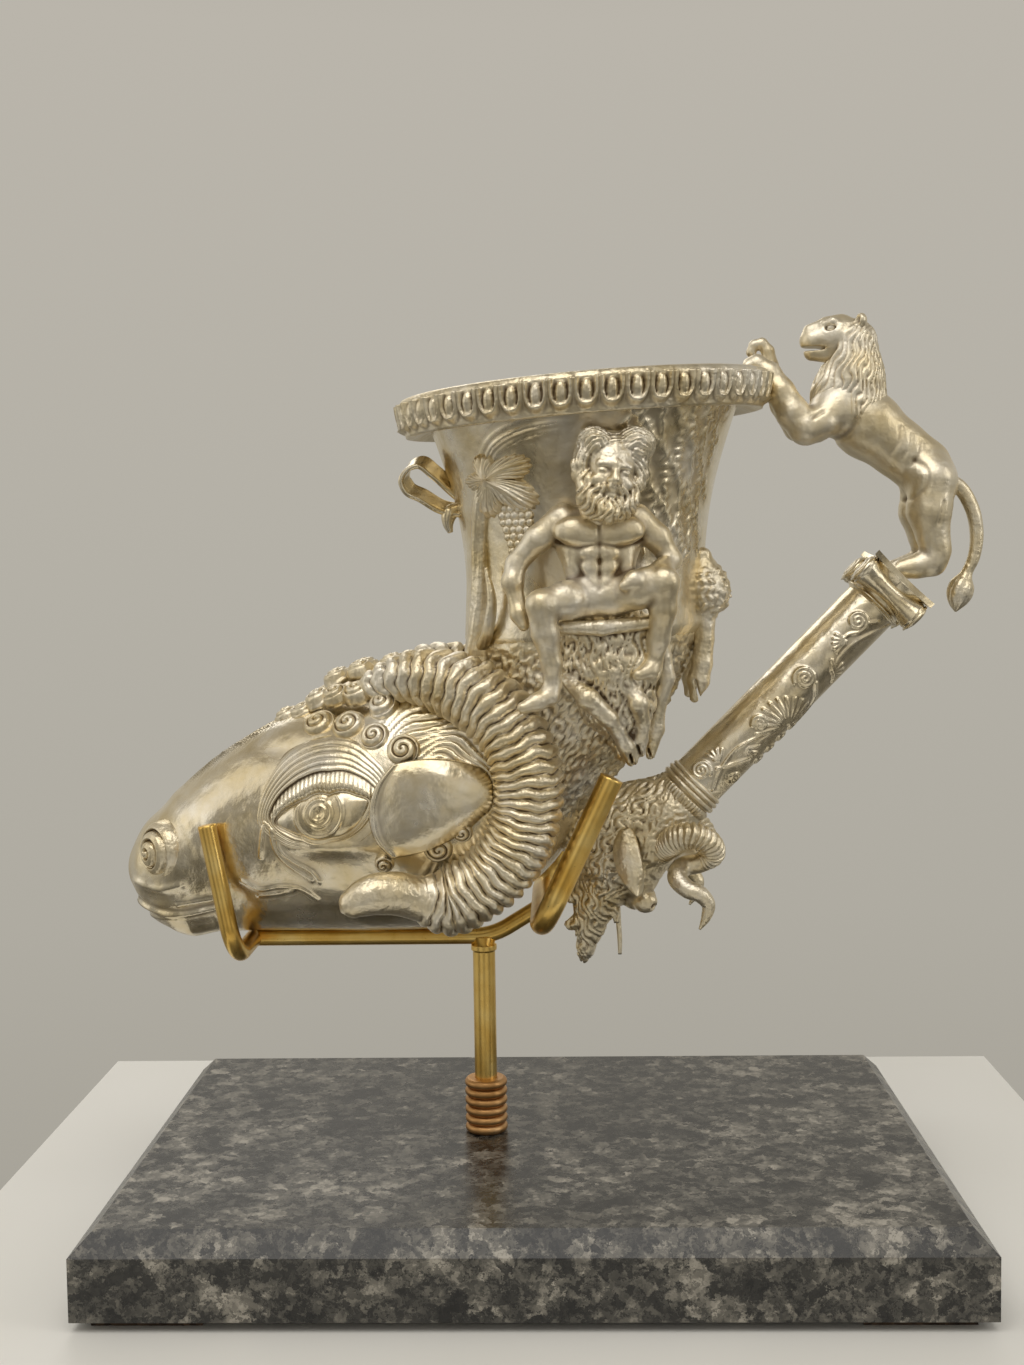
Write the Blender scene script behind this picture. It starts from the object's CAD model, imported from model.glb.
"""A silver ram's head drinking cup with a lion handle, in its brass cradle on a granite plinth."""

import bpy
import numpy as np
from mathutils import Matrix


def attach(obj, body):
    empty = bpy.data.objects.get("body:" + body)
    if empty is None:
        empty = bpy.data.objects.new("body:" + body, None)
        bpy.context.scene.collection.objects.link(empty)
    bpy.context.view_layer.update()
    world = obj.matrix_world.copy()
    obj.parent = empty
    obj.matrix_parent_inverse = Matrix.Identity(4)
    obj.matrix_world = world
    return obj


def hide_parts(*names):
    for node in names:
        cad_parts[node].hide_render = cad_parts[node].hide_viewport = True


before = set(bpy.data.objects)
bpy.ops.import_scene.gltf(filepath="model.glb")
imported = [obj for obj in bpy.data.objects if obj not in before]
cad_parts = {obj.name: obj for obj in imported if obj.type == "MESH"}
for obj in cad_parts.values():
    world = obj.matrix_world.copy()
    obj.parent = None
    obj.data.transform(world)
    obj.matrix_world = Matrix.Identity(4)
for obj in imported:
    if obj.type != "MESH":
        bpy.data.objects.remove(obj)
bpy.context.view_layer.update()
scene = bpy.context.scene
scene.view_settings.view_transform = "Standard"


# Camera: a phone held a little above the middle of the cup, about 40 cm away and turned slightly.
# Its place was fitted to the edges of the plinth and to the post.
mm = 0.001
picture_height, focal_length = 1365, 1600
sensor = 36.0
camera_place = np.array([1.93, -424.45, 171.03])
camera = bpy.data.cameras.new("camera")
camera.sensor_fit = "VERTICAL"
camera.sensor_width = sensor
camera.sensor_height = sensor
camera.lens = sensor * focal_length / picture_height
camera.clip_start = 0.01
yaw, pitch, roll = np.radians([1.717, 3.67, -0.853])
ahead = np.array([-np.sin(yaw) * np.cos(pitch), np.cos(yaw) * np.cos(pitch), -np.sin(pitch)])
level_right = np.array([np.cos(yaw), np.sin(yaw), 0.0])
level_up = np.cross(level_right, ahead)
right = np.cos(roll) * level_right + np.sin(roll) * level_up
up = np.cos(roll) * level_up - np.sin(roll) * level_right
stance = np.eye(4)
stance[:3] = np.stack([right, up, -ahead, camera_place * mm], 1)
viewer = bpy.data.objects.new("camera", camera)
scene.collection.objects.link(viewer)
viewer.matrix_world = stance.T.tolist()
scene.camera = viewer


# Showroom: a white pedestal top under a warm grey wall, lit by large soft boxes from above.
# The wall is the world itself, so that it stands behind the cup from every side.
def linear(colour):
    """An sRGB hex colour as linear light: the standard curve, a straight toe and a 2.4 power."""
    tones = np.array([int(colour[i : i + 2], 16) for i in (1, 3, 5)]) / 255
    return (*np.where(tones <= 0.04045, tones / 12.92, ((tones + 0.055) / 1.055) ** 2.4), 1.0)


def add(tree, kind, inputs=None, **settings):
    """Adds one node; an input that is a socket is linked, any other is set."""
    made = tree.nodes.new("ShaderNode" + kind)
    for key, value in settings.items():
        setattr(made, key, value)
    for key, value in (inputs or {}).items():
        if isinstance(value, bpy.types.NodeSocket):
            tree.links.new(value, made.inputs[key])
        else:
            made.inputs[key].default_value = value
    return made


def shades(ramp, *stops):
    """Sets a ramp's stops, each a place and a hex colour."""
    while len(ramp.elements) < len(stops):
        ramp.elements.new(0.5)
    for element, (place, colour) in zip(ramp.elements, stops):
        element.position = place
        element.color = linear(colour)


def reckon(tree, operation, *values, **settings):
    """The result of one sum on numbers or sockets."""
    return add(tree, "Math", dict(enumerate(values)), operation=operation, **settings).outputs[0]


def new_finish(name):
    """A new material, with its nodes, its shader and the place on the piece where its grain is looked up."""
    made = bpy.data.materials.new(name)
    made.use_nodes = True
    tree = made.node_tree
    return made, tree, tree.nodes["Principled BSDF"], add(tree, "TexCoord").outputs["Object"]


def unit(ways):
    """Ways of length one."""
    return np.asarray(ways, float) / np.linalg.norm(ways, axis=-1, keepdims=True)


world = bpy.data.worlds.new("showroom")
scene.world = world
world.use_nodes = True
tree = world.node_tree
tree.nodes.clear()
heading = add(tree, "TexCoord").outputs["Generated"]
heading = add(tree, "SeparateXYZ", {"Vector": heading}).outputs
height = add(tree, "MapRange", {"Value": heading["Z"], "From Min": -1.0, "From Max": 1.0})
wall = add(tree, "ValToRGB", {"Fac": height.outputs["Result"]})
shades(
    wall.color_ramp,
    (0.0, "#7E7769"),
    (0.4, "#AFABA1"),
    (0.5, "#B4B0A6"),
    (0.66, "#BAB5AB"),
    (1.0, "#8B857B"),
)
# what the metal mirrors, from the back round over the left: a bright room with darker strips in it
back = reckon(tree, "MULTIPLY", heading["Y"], -1.0)
bearing = reckon(tree, "ARCTAN2", heading["X"], back)
bearing = add(tree, "MapRange", {"Value": bearing, "From Min": -np.pi, "From Max": np.pi})
room = add(tree, "ValToRGB", {"Fac": bearing.outputs["Result"]})
shades(
    room.color_ramp,
    (0.18, "#E0E0E0"),
    (0.24, "#FAFAFA"),
    (0.31, "#FFFFFF"),
    (0.345, "#A0A0A0"),
    (0.375, "#959595"),
    (0.41, "#FAFAFA"),
    (0.455, "#FFFFFF"),
    (0.48, "#B3B3B3"),
    (0.52, "#B3B3B3"),
    (0.545, "#FAFAFA"),
    (0.60, "#F3F3F3"),
    (0.63, "#909090"),
    (0.67, "#959595"),
    (0.71, "#E7E7E7"),
    (0.80, "#CBCBCB"),
    (0.90, "#E0E0E0"),
)
floor = {"Value": heading["Z"], "From Min": -0.8, "From Max": 0.0, "To Min": 0.48, "To Max": 1.43}
floor = add(tree, "MapRange", floor).outputs["Result"]
ray = add(tree, "LightPath").outputs
mirrored = reckon(tree, "MULTIPLY_ADD", room.outputs["Color"], floor, -1.0)
level = reckon(tree, "MULTIPLY_ADD", mirrored, ray["Is Glossy Ray"], 1.0)
seen = reckon(tree, "ADD", ray["Is Camera Ray"], ray["Is Glossy Ray"])
seen = reckon(tree, "ADD", seen, ray["Is Transmission Ray"], use_clamp=True)
shown = add(tree, "Background", {"Color": wall.outputs["Color"], "Strength": level})
glow = add(tree, "Background", {"Color": linear("#E6E2DA"), "Strength": 0.68})
both = add(tree, "MixShader", {0: seen, 1: glow.outputs[0], 2: shown.outputs[0]})
add(tree, "OutputWorld", {"Surface": both.outputs[0]})

for name, place, target, wide, tall, power in (
    ("soft_box_left", (-0.95, -0.15, 0.60), (0.0, 0.0, 0.13), 0.70, 1.0, 0.85),
    ("soft_box_right", (0.95, -0.40, 0.55), (0.0, 0.0, 0.13), 0.30, 0.9, 1.6),
    ("soft_box_top", (-0.10, -0.52, 1.05), (0.0, 0.0, 0.10), 1.0, 0.8, 4.6),
    ("soft_box_back", (-0.3, 0.85, 0.8), (0.0, 0.0, 0.13), 0.5, 0.5, 1.3),
):
    lamp = bpy.data.lights.new(name, "AREA")
    lamp.shape = "RECTANGLE"
    lamp.size = wide
    lamp.size_y = tall
    lamp.energy = power
    lamp.color = linear("#FFFDFA")[:3]
    box = bpy.data.objects.new(name, lamp)
    scene.collection.objects.link(box)
    away = unit(np.array(place) - np.array(target))
    across = unit(np.cross((0.0, 0.0, 1.0), away))
    turn = np.eye(4)
    turn[:3] = np.stack([across, np.cross(away, across), away, place], 1)
    box.matrix_world = turn.T.tolist()

lacquer, tree, shader, spot = new_finish("white_lacquered_board")
cloud = add(tree, "TexNoise", {"Vector": spot, "Scale": 9.0, "Detail": 2.0})
paint = add(tree, "ValToRGB", {"Fac": cloud.outputs["Fac"]})
shades(paint.color_ramp, (0.3, "#DFDDD6"), (0.7, "#E5E3DD"))
tree.links.new(paint.outputs["Color"], shader.inputs["Base Color"])
shader.inputs["Roughness"].default_value = 0.55

pedestal_height = 0.9
pedestal = bpy.data.meshes.new("pedestal_top")
corners = [(-0.159, -0.17), (0.1505, -0.17), (0.1505, 0.138), (-0.159, 0.138)]
pedestal.from_pydata(
    [(*corner, 0.0) for corner in corners] + [(*corner, -pedestal_height) for corner in corners],
    [],
    [(0, 1, 2, 3), (0, 4, 5, 1), (1, 5, 6, 2), (2, 6, 7, 3), (3, 7, 4, 0)],
)
pedestal.materials.append(lacquer)
table = bpy.data.objects.new("pedestal_top", pedestal)
scene.collection.objects.link(table)


# Granite plinth: a 20 mm slab of dark mottled granite, sawn, bevelled along its top edges and polished.
# Grains of feldspar, quartz and mica 1 to 6 mm across, with a wet-looking gloss.
def dressed(material, *names):
    """Gives pieces that are shown as their solids are a material."""
    for name in names:
        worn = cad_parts[name].data.materials
        worn.clear()
        worn.append(material)


granite, tree, shader, spot = new_finish("polished_granite")
# clouds about 14 mm across; ragged grains of feldspar about 6 mm, quartz about 2.6 mm, mica about 1.1 mm
ragged = add(tree, "TexNoise", {"Vector": spot, "Scale": 1000 / 3, "Detail": 4.0, "Roughness": 0.7})
stray = add(tree, "VectorMath", {0: ragged.outputs["Color"], 1: (0.5, 0.5, 0.5)}, operation="SUBTRACT")
stray = add(tree, "VectorMath", {0: stray.outputs[0], "Scale": 0.007}, operation="SCALE")
stray = add(tree, "VectorMath", {0: spot, 1: stray.outputs[0]}, operation="ADD").outputs[0]
cloud = add(tree, "TexNoise", {"Vector": spot, "Scale": 1000 / 14, "Detail": 3.0, "Roughness": 0.6})
mixed = reckon(tree, "MULTIPLY", cloud.outputs["Fac"], 0.45)
for size, share in ((6.0, 0.17), (2.6, 0.22), (1.1, 0.16)):
    grain = add(tree, "TexVoronoi", {"Vector": stray, "Scale": 1000 / size})
    grain = add(tree, "SeparateColor", {0: grain.outputs["Color"]}).outputs[0]
    mixed = reckon(tree, "MULTIPLY_ADD", grain, share, mixed)
stone = add(tree, "ValToRGB", {"Fac": mixed})
shades(
    stone.color_ramp,
    (0.28, "#131312"),
    (0.42, "#2B2A27"),
    (0.52, "#47453F"),
    (0.62, "#6C685F"),
    (0.74, "#A19B8F"),
)
tree.links.new(stone.outputs["Color"], shader.inputs["Base Color"])
shine = add(tree, "MapRange", {"Value": mixed, "To Min": 0.20, "To Max": 0.36})
tree.links.new(shine.outputs["Result"], shader.inputs["Roughness"])
dressed(granite, "granite_plinth")


# Foot pads: four squares of dark pressed cork glued under the corners of the slab.
# Crumbs about 1.5 mm across, dull, with ragged little pits.
cork, tree, shader, spot = new_finish("pressed_cork")
crumb = add(tree, "TexVoronoi", {"Vector": spot, "Scale": 1000 / 1.5, "Randomness": 1.0})
bark = add(tree, "ValToRGB", {"Fac": crumb.outputs["Color"]})
shades(bark.color_ramp, (0.1, "#2B211A"), (0.6, "#4A3A2C"), (0.9, "#5F4C3A"))
tree.links.new(bark.outputs["Color"], shader.inputs["Base Color"])
shader.inputs["Roughness"].default_value = 0.92
pits = add(tree, "Bump", {"Height": crumb.outputs["Distance"], "Strength": 0.6, "Distance": 0.0006})
tree.links.new(pits.outputs["Normal"], shader.inputs["Normal"])
dressed(cork, "foot_pads")


# Cradle and collar: round brass rod, bent cold and silver-soldered, and a ribbed brass socket.
# Satin brass with fine rubbing marks and clouds of browner tarnish.
brass, tree, shader, spot = new_finish("satin_brass")
# tarnish clouds about 8 mm across and rubbing marks about 0.5 mm apart
cloud = add(tree, "TexNoise", {"Vector": spot, "Scale": 1000 / 8, "Detail": 4.0})
rub = add(tree, "TexNoise", {"Vector": spot, "Scale": 1000 / 0.5, "Detail": 2.0})
gold = add(tree, "ValToRGB", {"Fac": cloud.outputs["Fac"]})
shades(gold.color_ramp, (0.3, "#D9AE56"), (0.55, "#EAC775"), (0.75, "#F4D88F"))
tree.links.new(gold.outputs["Color"], shader.inputs["Base Color"])
shader.inputs["Metallic"].default_value = 1.0
satin = add(tree, "MapRange", {"Value": rub.outputs["Fac"], "To Min": 0.26, "To Max": 0.31})
tree.links.new(satin.outputs["Result"], shader.inputs["Roughness"])
# the socket is cast, duller and redder
cast_brass = brass.copy()
cast_brass.name = "cast_brass"
ramp = next(node for node in cast_brass.node_tree.nodes if node.type == "VALTORGB")
shades(ramp.color_ramp, (0.3, "#B08452"), (0.55, "#C89C68"), (0.75, "#D9B485"))
dulled = next(node for node in cast_brass.node_tree.nodes if node.type == "MAP_RANGE")
dulled.inputs["To Min"].default_value = 0.36
dulled.inputs["To Max"].default_value = 0.48
dressed(cast_brass, "base_collar")


def bend(knots, values, places):
    """Cubic between knots, with each knot's slope taken from its two neighbours."""
    slopes = np.gradient(values, knots, axis=0)
    i = np.clip(np.searchsorted(knots, places, side="right") - 1, 0, len(knots) - 2)
    gap = knots[i + 1] - knots[i]
    t = (places - knots[i]) / gap
    if values.ndim > 1:
        gap, t = gap[:, None], t[:, None]
    start = (1 + 2 * t) * (1 - t) ** 2 * values[i] + t * (1 - t) ** 2 * gap * slopes[i]
    return start + t * t * (3 - 2 * t) * values[i + 1] + t * t * (t - 1) * gap * slopes[i + 1]


def flow(stops, count):
    """A smooth line through the stops, at even steps of its chord length; further columns ride along."""
    stops = np.asarray(stops, float)
    reach = np.r_[0, np.cumsum(np.linalg.norm(np.diff(stops[:, :3], axis=0), axis=1))]
    return bend(reach, stops, np.linspace(0, reach[-1], count))


def meshed(number):
    """Four-cornered faces between the neighbours in a grid of numbered points."""
    return np.stack([number[:-1, :-1], number[:-1, 1:], number[1:, 1:], number[1:, :-1]], -1).reshape(-1, 4)


def wrapped(grid):
    """Faces over a grid whose columns run round, with a middle point at each end."""
    rows, columns = grid.shape[:2]
    number = np.arange(rows * columns).reshape(rows, columns)
    number = np.c_[number, number[:, :1]]
    points = np.r_[grid.reshape(-1, 3), grid[:1].mean(1), grid[-1:].mean(1)]
    first = np.full(columns, rows * columns)
    start = np.stack([first, number[0, 1:], number[0, :-1]], -1)
    end = np.stack([first + 1, number[-1, :-1], number[-1, 1:]], -1)
    return points, meshed(number), np.r_[start, end]


def turned_out(shell):
    """The shell with its faces outwards: they are reversed where the volume they enclose is negative."""
    points, quads, tris = shell
    corners = np.r_[tris, quads[:, [0, 1, 2]], quads[:, [0, 2, 3]]]
    a, b, c = points[corners[:, 0]], points[corners[:, 1]], points[corners[:, 2]]
    if np.einsum("ij,ij", a, np.cross(b, c)) < 0:
        return points, quads[:, ::-1], tris[:, ::-1]
    return shell


def closed(grid):
    """A shell over a grid whose columns run round, closed at both ends, with its faces outwards."""
    return turned_out(wrapped(grid))


def full_turn(count):
    """Angles once round at even steps."""
    return np.linspace(0, 2 * np.pi, count, endpoint=False)


def carried(path, radius, around, square_to=(0.0, 1.0, 0.0)):
    """A round profile carried along a path: at each step its circle stands square to the way ahead."""
    way = unit(np.gradient(path, axis=0))
    side = unit(np.cross(way, square_to))
    lift = np.cross(side, way)
    angle = full_turn(around)[:, None]
    spoke = np.cos(angle) * side[:, None] + np.sin(angle) * lift[:, None]
    return path[:, None] + np.reshape(radius, (len(path), -1, 1)) * spoke


def bent(stops, corner, step=0.6):
    """A line with rounded corners: straight runs, and at each inner stop an arc that touches both."""
    stops = np.array(stops, float)
    ways = unit(np.diff(stops, axis=0))
    line = [stops[:1]]
    for place, way, onward in zip(stops[1:-1], ways[:-1], ways[1:]):
        angle = np.arccos(way @ onward)
        start = place - way * corner * np.tan(angle / 2)
        inward = unit(onward - way * (way @ onward))
        turn = np.linspace(0, angle, 24)[:, None]
        line.append(start + corner * ((1 - np.cos(turn)) * inward + np.sin(turn) * way))
    line = np.concatenate([*line, stops[-1:]])
    reach = np.r_[0, np.cumsum(np.linalg.norm(np.diff(line, axis=0), axis=1))]
    even = np.r_[0, np.linspace(0.12, reach[-1] - 0.12, int(reach[-1] / step)), reach[-1]]
    return np.stack([np.interp(even, reach, line[:, i]) for i in range(3)], 1)


def put(name, shell, material, body, *nodes):
    """Puts a shell, in mm, into a mesh that rides on a body in place of the given CAD nodes."""
    points, quads, tris = shell
    mesh = bpy.data.meshes.new(name)
    mesh.from_pydata((points * mm).tolist(), [], quads.tolist() + tris.tolist())
    mesh.shade_smooth()
    mesh.materials.append(material)
    made = bpy.data.objects.new(name, mesh)
    scene.collection.objects.link(made)
    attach(made, body)
    if nodes:
        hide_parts(*nodes)
    return made


def rod(name, stops, corner, radius, square_to, node):
    """A round rod along a bent line, its two ends broken with a file."""
    path = bent(stops, corner)
    girth = np.full(len(path), radius)
    girth[[0, -1]] = 0.9 * radius
    made = put(name, closed(carried(path, girth, 40, square_to)), brass, "cradle", node)


bar_level = 75.7
bar_rise = 8.2
front_x, rear_x = -81.5, -3.5
yoke = np.array([(front_x - 6.5, -24.6, bar_level + 34.5), (front_x, -24.6, bar_level)])
rod("front_yoke_rod", np.r_[yoke, yoke[::-1] * (1, -1, 1)], 9.0, 2.3, (1.0, 0.0, 0.0), "front_yoke")
yoke = np.array([(rear_x + 18.0, -30.5, bar_level + 46.2), (rear_x, -30.5, bar_level + bar_rise)])
rod("rear_yoke_rod", np.r_[yoke, yoke[::-1] * (1, -1, 1)], 9.0, 3.0, (1.0, 0.0, 0.0), "rear_yoke")
bar = [(front_x, 0, bar_level), (-17.0, 0, bar_level), (rear_x, 0, bar_level + bar_rise)]
rod("cradle_bar_rod", bar, 18.0, 2.2, (0.0, 1.0, 0.0), "cradle_bar")
# the post is turned with a ferrule under the bar: height and radius
post_x = -19.4
post = np.array([
    (24.6, 2.9), (24.8, 3.0), (25.0, 3.0), (71.5, 3.0), (71.85, 3.0), (71.9, 3.3), (72.1, 3.45),
    (72.3, 3.45), (73.1, 3.45), (73.3, 3.45), (73.5, 3.3), (73.55, 3.0), (75.6, 3.0), (75.7, 2.8),
])
path = np.c_[np.full(len(post), post_x), np.zeros(len(post)), post[:, 0]]
post_shell = closed(carried(path, post[:, 1], 48))
put("cradle_post", post_shell, brass, "cradle", "cradle_stem")


# Washer and nut under the slab: plain zinc-plated steel, hidden in the counterbore.
# Plating gives a cool grey with a faint spangle.
zinc, tree, shader, spot = new_finish("zinc_plated_steel")
spangle = add(tree, "TexVoronoi", {"Vector": spot, "Scale": 1000 / 2.0})
plating = add(tree, "ValToRGB", {"Fac": spangle.outputs["Color"]})
shades(plating.color_ramp, (0.0, "#A3A6A8"), (1.0, "#C2C5C7"))
tree.links.new(plating.outputs["Color"], shader.inputs["Base Color"])
shader.inputs["Metallic"].default_value = 1.0
shader.inputs["Roughness"].default_value = 0.38
dressed(zinc, "fixing_washer", "fixing_nut")


# Ram's head: the hollow body of the cup, raised from silver sheet and chased from both sides.
# Its face is polished; tear lines, jaw folds and mouth are cut in with a rounded punch.
def silver_finish(name, dull, bright, dent):
    """Silver: a warm tone left by old lacquer drifts over about 12 mm, and tarnish stays in the hollows.
    Dull and bright are the ends of its roughness, dent the depth of the marks of hammer and mould."""
    made, tree, shader, spot = new_finish(name)
    drift = add(tree, "TexNoise", {"Vector": spot, "Scale": 1000 / 12, "Detail": 4.0, "Roughness": 0.6})
    tone = add(tree, "ValToRGB", {"Fac": drift.outputs["Fac"]})
    shades(tone.color_ramp, (0.3, "#DBCAA2"), (0.5, "#E7DBBF"), (0.7, "#F1EADA"))
    low = add(tree, "Attribute", attribute_name="hollow").outputs["Fac"]
    stain = add(tree, "MapRange", {"Value": low, "From Min": 0.0, "From Max": 0.42, "To Max": 0.9})
    stain = stain.outputs["Result"]
    metal = add(tree, "Mix", {0: stain, 6: tone.outputs["Color"], 7: linear("#543A18")}, data_type="RGBA")
    tree.links.new(metal.outputs[2], shader.inputs["Base Color"])
    shader.inputs["Metallic"].default_value = 1.0
    gloss = add(tree, "MapRange", {"Value": drift.outputs["Fac"], "To Min": bright, "To Max": dull})
    gloss = reckon(tree, "MULTIPLY_ADD", stain, 0.3, gloss.outputs["Result"])
    tree.links.new(gloss, shader.inputs["Roughness"])
    # dents about 9 mm across, planishing marks 2.5 mm, file and punch marks 0.9 mm, grain 0.35 mm
    surface = None
    for size, deep in ((9.0, 0.16), (2.5, 0.6 * dent), (0.9, 0.5 * dent), (0.35, 0.15 * dent)):
        marks = add(tree, "TexNoise", {"Vector": spot, "Scale": 1000 / size, "Detail": 2.0})
        bump = {"Height": marks.outputs["Fac"], "Strength": deep, "Distance": 0.0004 * size}
        if surface:
            bump["Normal"] = surface
        surface = add(tree, "Bump", bump).outputs["Normal"]
    tree.links.new(surface, shader.inputs["Normal"])
    return made


polished = silver_finish("polished_silver", 0.32, 0.19, 0.2)
chased = silver_finish("chased_silver", 0.46, 0.29, 0.7)
cast = silver_finish("cast_silver", 0.48, 0.34, 0.35)

jaw_level = 78.2
jaw = np.array([0.0, 0.0, jaw_level])


def bell(gap, width):
    """The strength of a mark at a gap from its middle, which dies out over the width like a bell curve."""
    return np.exp(-((gap / width) ** 2))


def fade(reach, span):
    """A strength that grows from none to full while the reach goes from nil to the span."""
    return np.clip(reach / span, 0, 1)


def nearness(x, z, stops, count=40):
    """How far each point of the drawing lies from a smooth line through the stops."""
    line = flow(stops, count)
    gaps = np.full(np.shape(x), 1e9)
    for start, end in zip(line[:-1], line[1:]):
        run = end - start
        share = np.clip(((x - start[0]) * run[0] + (z - start[1]) * run[1]) / (run @ run), 0, 1)
        gaps = np.minimum(gaps, np.hypot(x - start[0] - share * run[0], z - start[1] - share * run[1]))
    return gaps


def outward(grid):
    """Unit normals of a grid whose columns run round: the cross product of its two directions."""
    round_about = np.roll(grid, -1, 1) - np.roll(grid, 1, 1)
    along = np.gradient(grid, axis=0)
    normal = np.cross(round_about, along)
    return normal / np.maximum(np.linalg.norm(normal, axis=-1, keepdims=True), 1e-9)


def silver_piece(name, shell, *nodes, finish=chased, blur=1.0, soil=0.0):
    """Puts a shell on the cup, and notes how hollow each point lies: the distance from the point up to the
    blurred surface, along its normal. Soil adds to that."""
    made = put(name, shell, finish, "cup", *nodes)
    mesh = made.data
    points = shell[0]
    normal = np.empty(len(points) * 3, np.float32)
    mesh.vertex_normals.foreach_get("vector", normal)
    edges = np.empty(len(mesh.edges) * 2, np.int32)
    mesh.edges.foreach_get("vertices", edges)
    a, b = edges.reshape(-1, 2).T
    ends, others = np.r_[a, b], np.r_[b, a]
    step = np.median(np.linalg.norm(points[a] - points[b], axis=1))
    count = np.maximum(np.bincount(ends, minlength=len(points)), 1)
    blurred = points.copy()
    for _ in range(int(np.clip(2.5 * (blur / step) ** 2, 3, 40))):
        sums = [np.bincount(ends, weights=blurred[others, i], minlength=len(points)) for i in range(3)]
        blurred = np.stack(sums, 1) / count[:, None]
    hollow = ((blurred - points) * normal.reshape(-1, 3)).sum(1) + soil
    mesh.attributes.new("hollow", "FLOAT", "POINT").data.foreach_set("value", hollow.astype(np.float32))
    return made


# sections from muzzle to nape: place, crown, jaw and half width
head_sections = np.array(
    [
        (-113.5, 22.5, 12.0, 4.6),
        (-111.2, 27.0, 7.0, 9.0),
        (-105.0, 33.6, 1.8, 14.0),
        (-92.0, 45.6, 0.0, 19.0),
        (-78.0, 54.6, 0.0, 23.6),
        (-62.0, 61.6, 0.0, 28.4),
        (-45.0, 67.6, 0.0, 31.4),
        (-28.0, 71.6, 1.2, 32.4),
        (-12.0, 69.6, 8.0, 30.6),
        (0.0, 61.6, 18.0, 21.5),
        (8.0, 50.0, 29.0, 9.5),
    ]
)


def section_at(x):
    """The head's section at a place along it: the height of its middle, its rise and its half width."""
    sizes = bend(head_sections[:, 0], head_sections[:, 1:], x.ravel()).reshape(*x.shape, 3)
    crown, chin, half = np.moveaxis(sizes, -1, 0)
    return (crown + chin) / 2, (crown - chin) / 2, half


def on_head(x, angle):
    """A point of the head: each section is an ellipse, its angle counted from the crown to the near side."""
    x, angle = np.broadcast_arrays(x, angle)
    middle, rise, half = section_at(x)
    return np.stack([x, -half * np.sin(angle), jaw_level + middle + rise * np.cos(angle)], -1)


# rows lie close where the face is chased
rows = [np.linspace(-113.5, -108, 22), np.linspace(-107.6, -50, 160)]
rows += [np.linspace(-49.2, -12, 62), np.linspace(-11, 8, 8)]
columns = full_turn(360)
columns = columns + 0.18 * np.sin(2 * columns)
head = on_head(np.concatenate(rows)[:, None], columns[None, :])
nose_tip = head[:1].mean(1, keepdims=True)
dome = np.linspace(0.08, 0.93, 7)[:, None, None]
tip = nose_tip + (head[:1] - nose_tip) * dome + np.array([-1.25, 0, 0]) * (1 - dome**2)
head = np.r_[tip, head]
x, y, z = head[..., 0], head[..., 1], head[..., 2] - jaw_level
relief = np.zeros_like(x)
# grooves: stops seen from the side, depth and half width
for stops, depth, width in (
    ([(-112.0, 9.0), (-106.0, 7.0), (-100.8, 6.9), (-97.7, 7.1), (-92.0, 8.3), (-86.7, 9.6)], 1.2, 0.6),
    ([(-99.0, 9.4), (-93.0, 10.6), (-88.0, 11.6)], 0.5, 0.6),
    ([(-80.2, 17.0), (-75.8, 14.8), (-70.4, 15.6), (-64.5, 15.1), (-60.1, 12.2)], 0.5, 0.42),
    ([(-76.0, 13.0), (-71.4, 13.6), (-66.4, 14.8)], 0.4, 0.42),
    ([(-73.1, 32.7), (-70.4, 30.0), (-68.9, 25.1), (-65.5, 22.2), (-61.5, 19.7), (-59.6, 17.0)], 0.55, 0.42),
    ([(-71.5, 30.5), (-70.3, 25.2), (-67.0, 21.3), (-63.6, 18.9), (-61.4, 17.4)], 0.5, 0.42),
    ([(-73.4, 31.5), (-74.0, 28.1), (-74.6, 23.7)], 0.45, 0.45),
    ([(-110.5, 15.0), (-104.0, 13.6), (-97.0, 15.0)], 0.5, 1.1),
    ([(-100.0, 36.0), (-94.0, 30.0), (-90.0, 22.0)], 0.4, 2.2),
):
    relief -= depth * bell(nearness(x, z, stops), width)
# swellings: lips, cheek, brow and the hollows under the eye and beside the nose
for swell_x, swell_z, wide, tall, rise in (
    (-107.0, 11.0, 6.0, 2.4, 0.8),
    (-97.0, 4.6, 6.0, 1.6, 0.7),
    (-56.0, 21.0, 15.0, 6.0, 1.1),
    (-56.0, 26.4, 9.0, 2.4, -0.9),
    (-88.0, 33.0, 9.0, 7.0, -1.3),
    (-70.0, 50.0, 9.0, 3.0, 0.9),
    (-97.0, 22.0, 6.0, 5.0, -0.6),
):
    relief += rise * np.exp(-(((x - swell_x) / wide) ** 2) - (((z - swell_z) / tall) ** 2))
# the lower jaw stands back under the upper lip, and a cap of wool rises on the crown
relief -= 1.6 * fade(6.9 - z, 1.2) * fade(-90 - x, 9)
from_crown = np.degrees(np.arctan2(np.abs(y), z - 30))
relief += 5.0 * bell(x + 50, 9) * bell(from_crown, 26)
# short chisel cuts fan out from the bridge of the nose below the curls
crest = bell(np.abs(y) - 4.2, 3.4) * fade(x + 99, 6) * fade(-64 - x, 5) * (z > 30)
relief += 0.8 * crest * (np.abs(np.sin(1.5 * (x + 0.9 * np.abs(y)))) ** 0.7 - 0.3)
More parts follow.
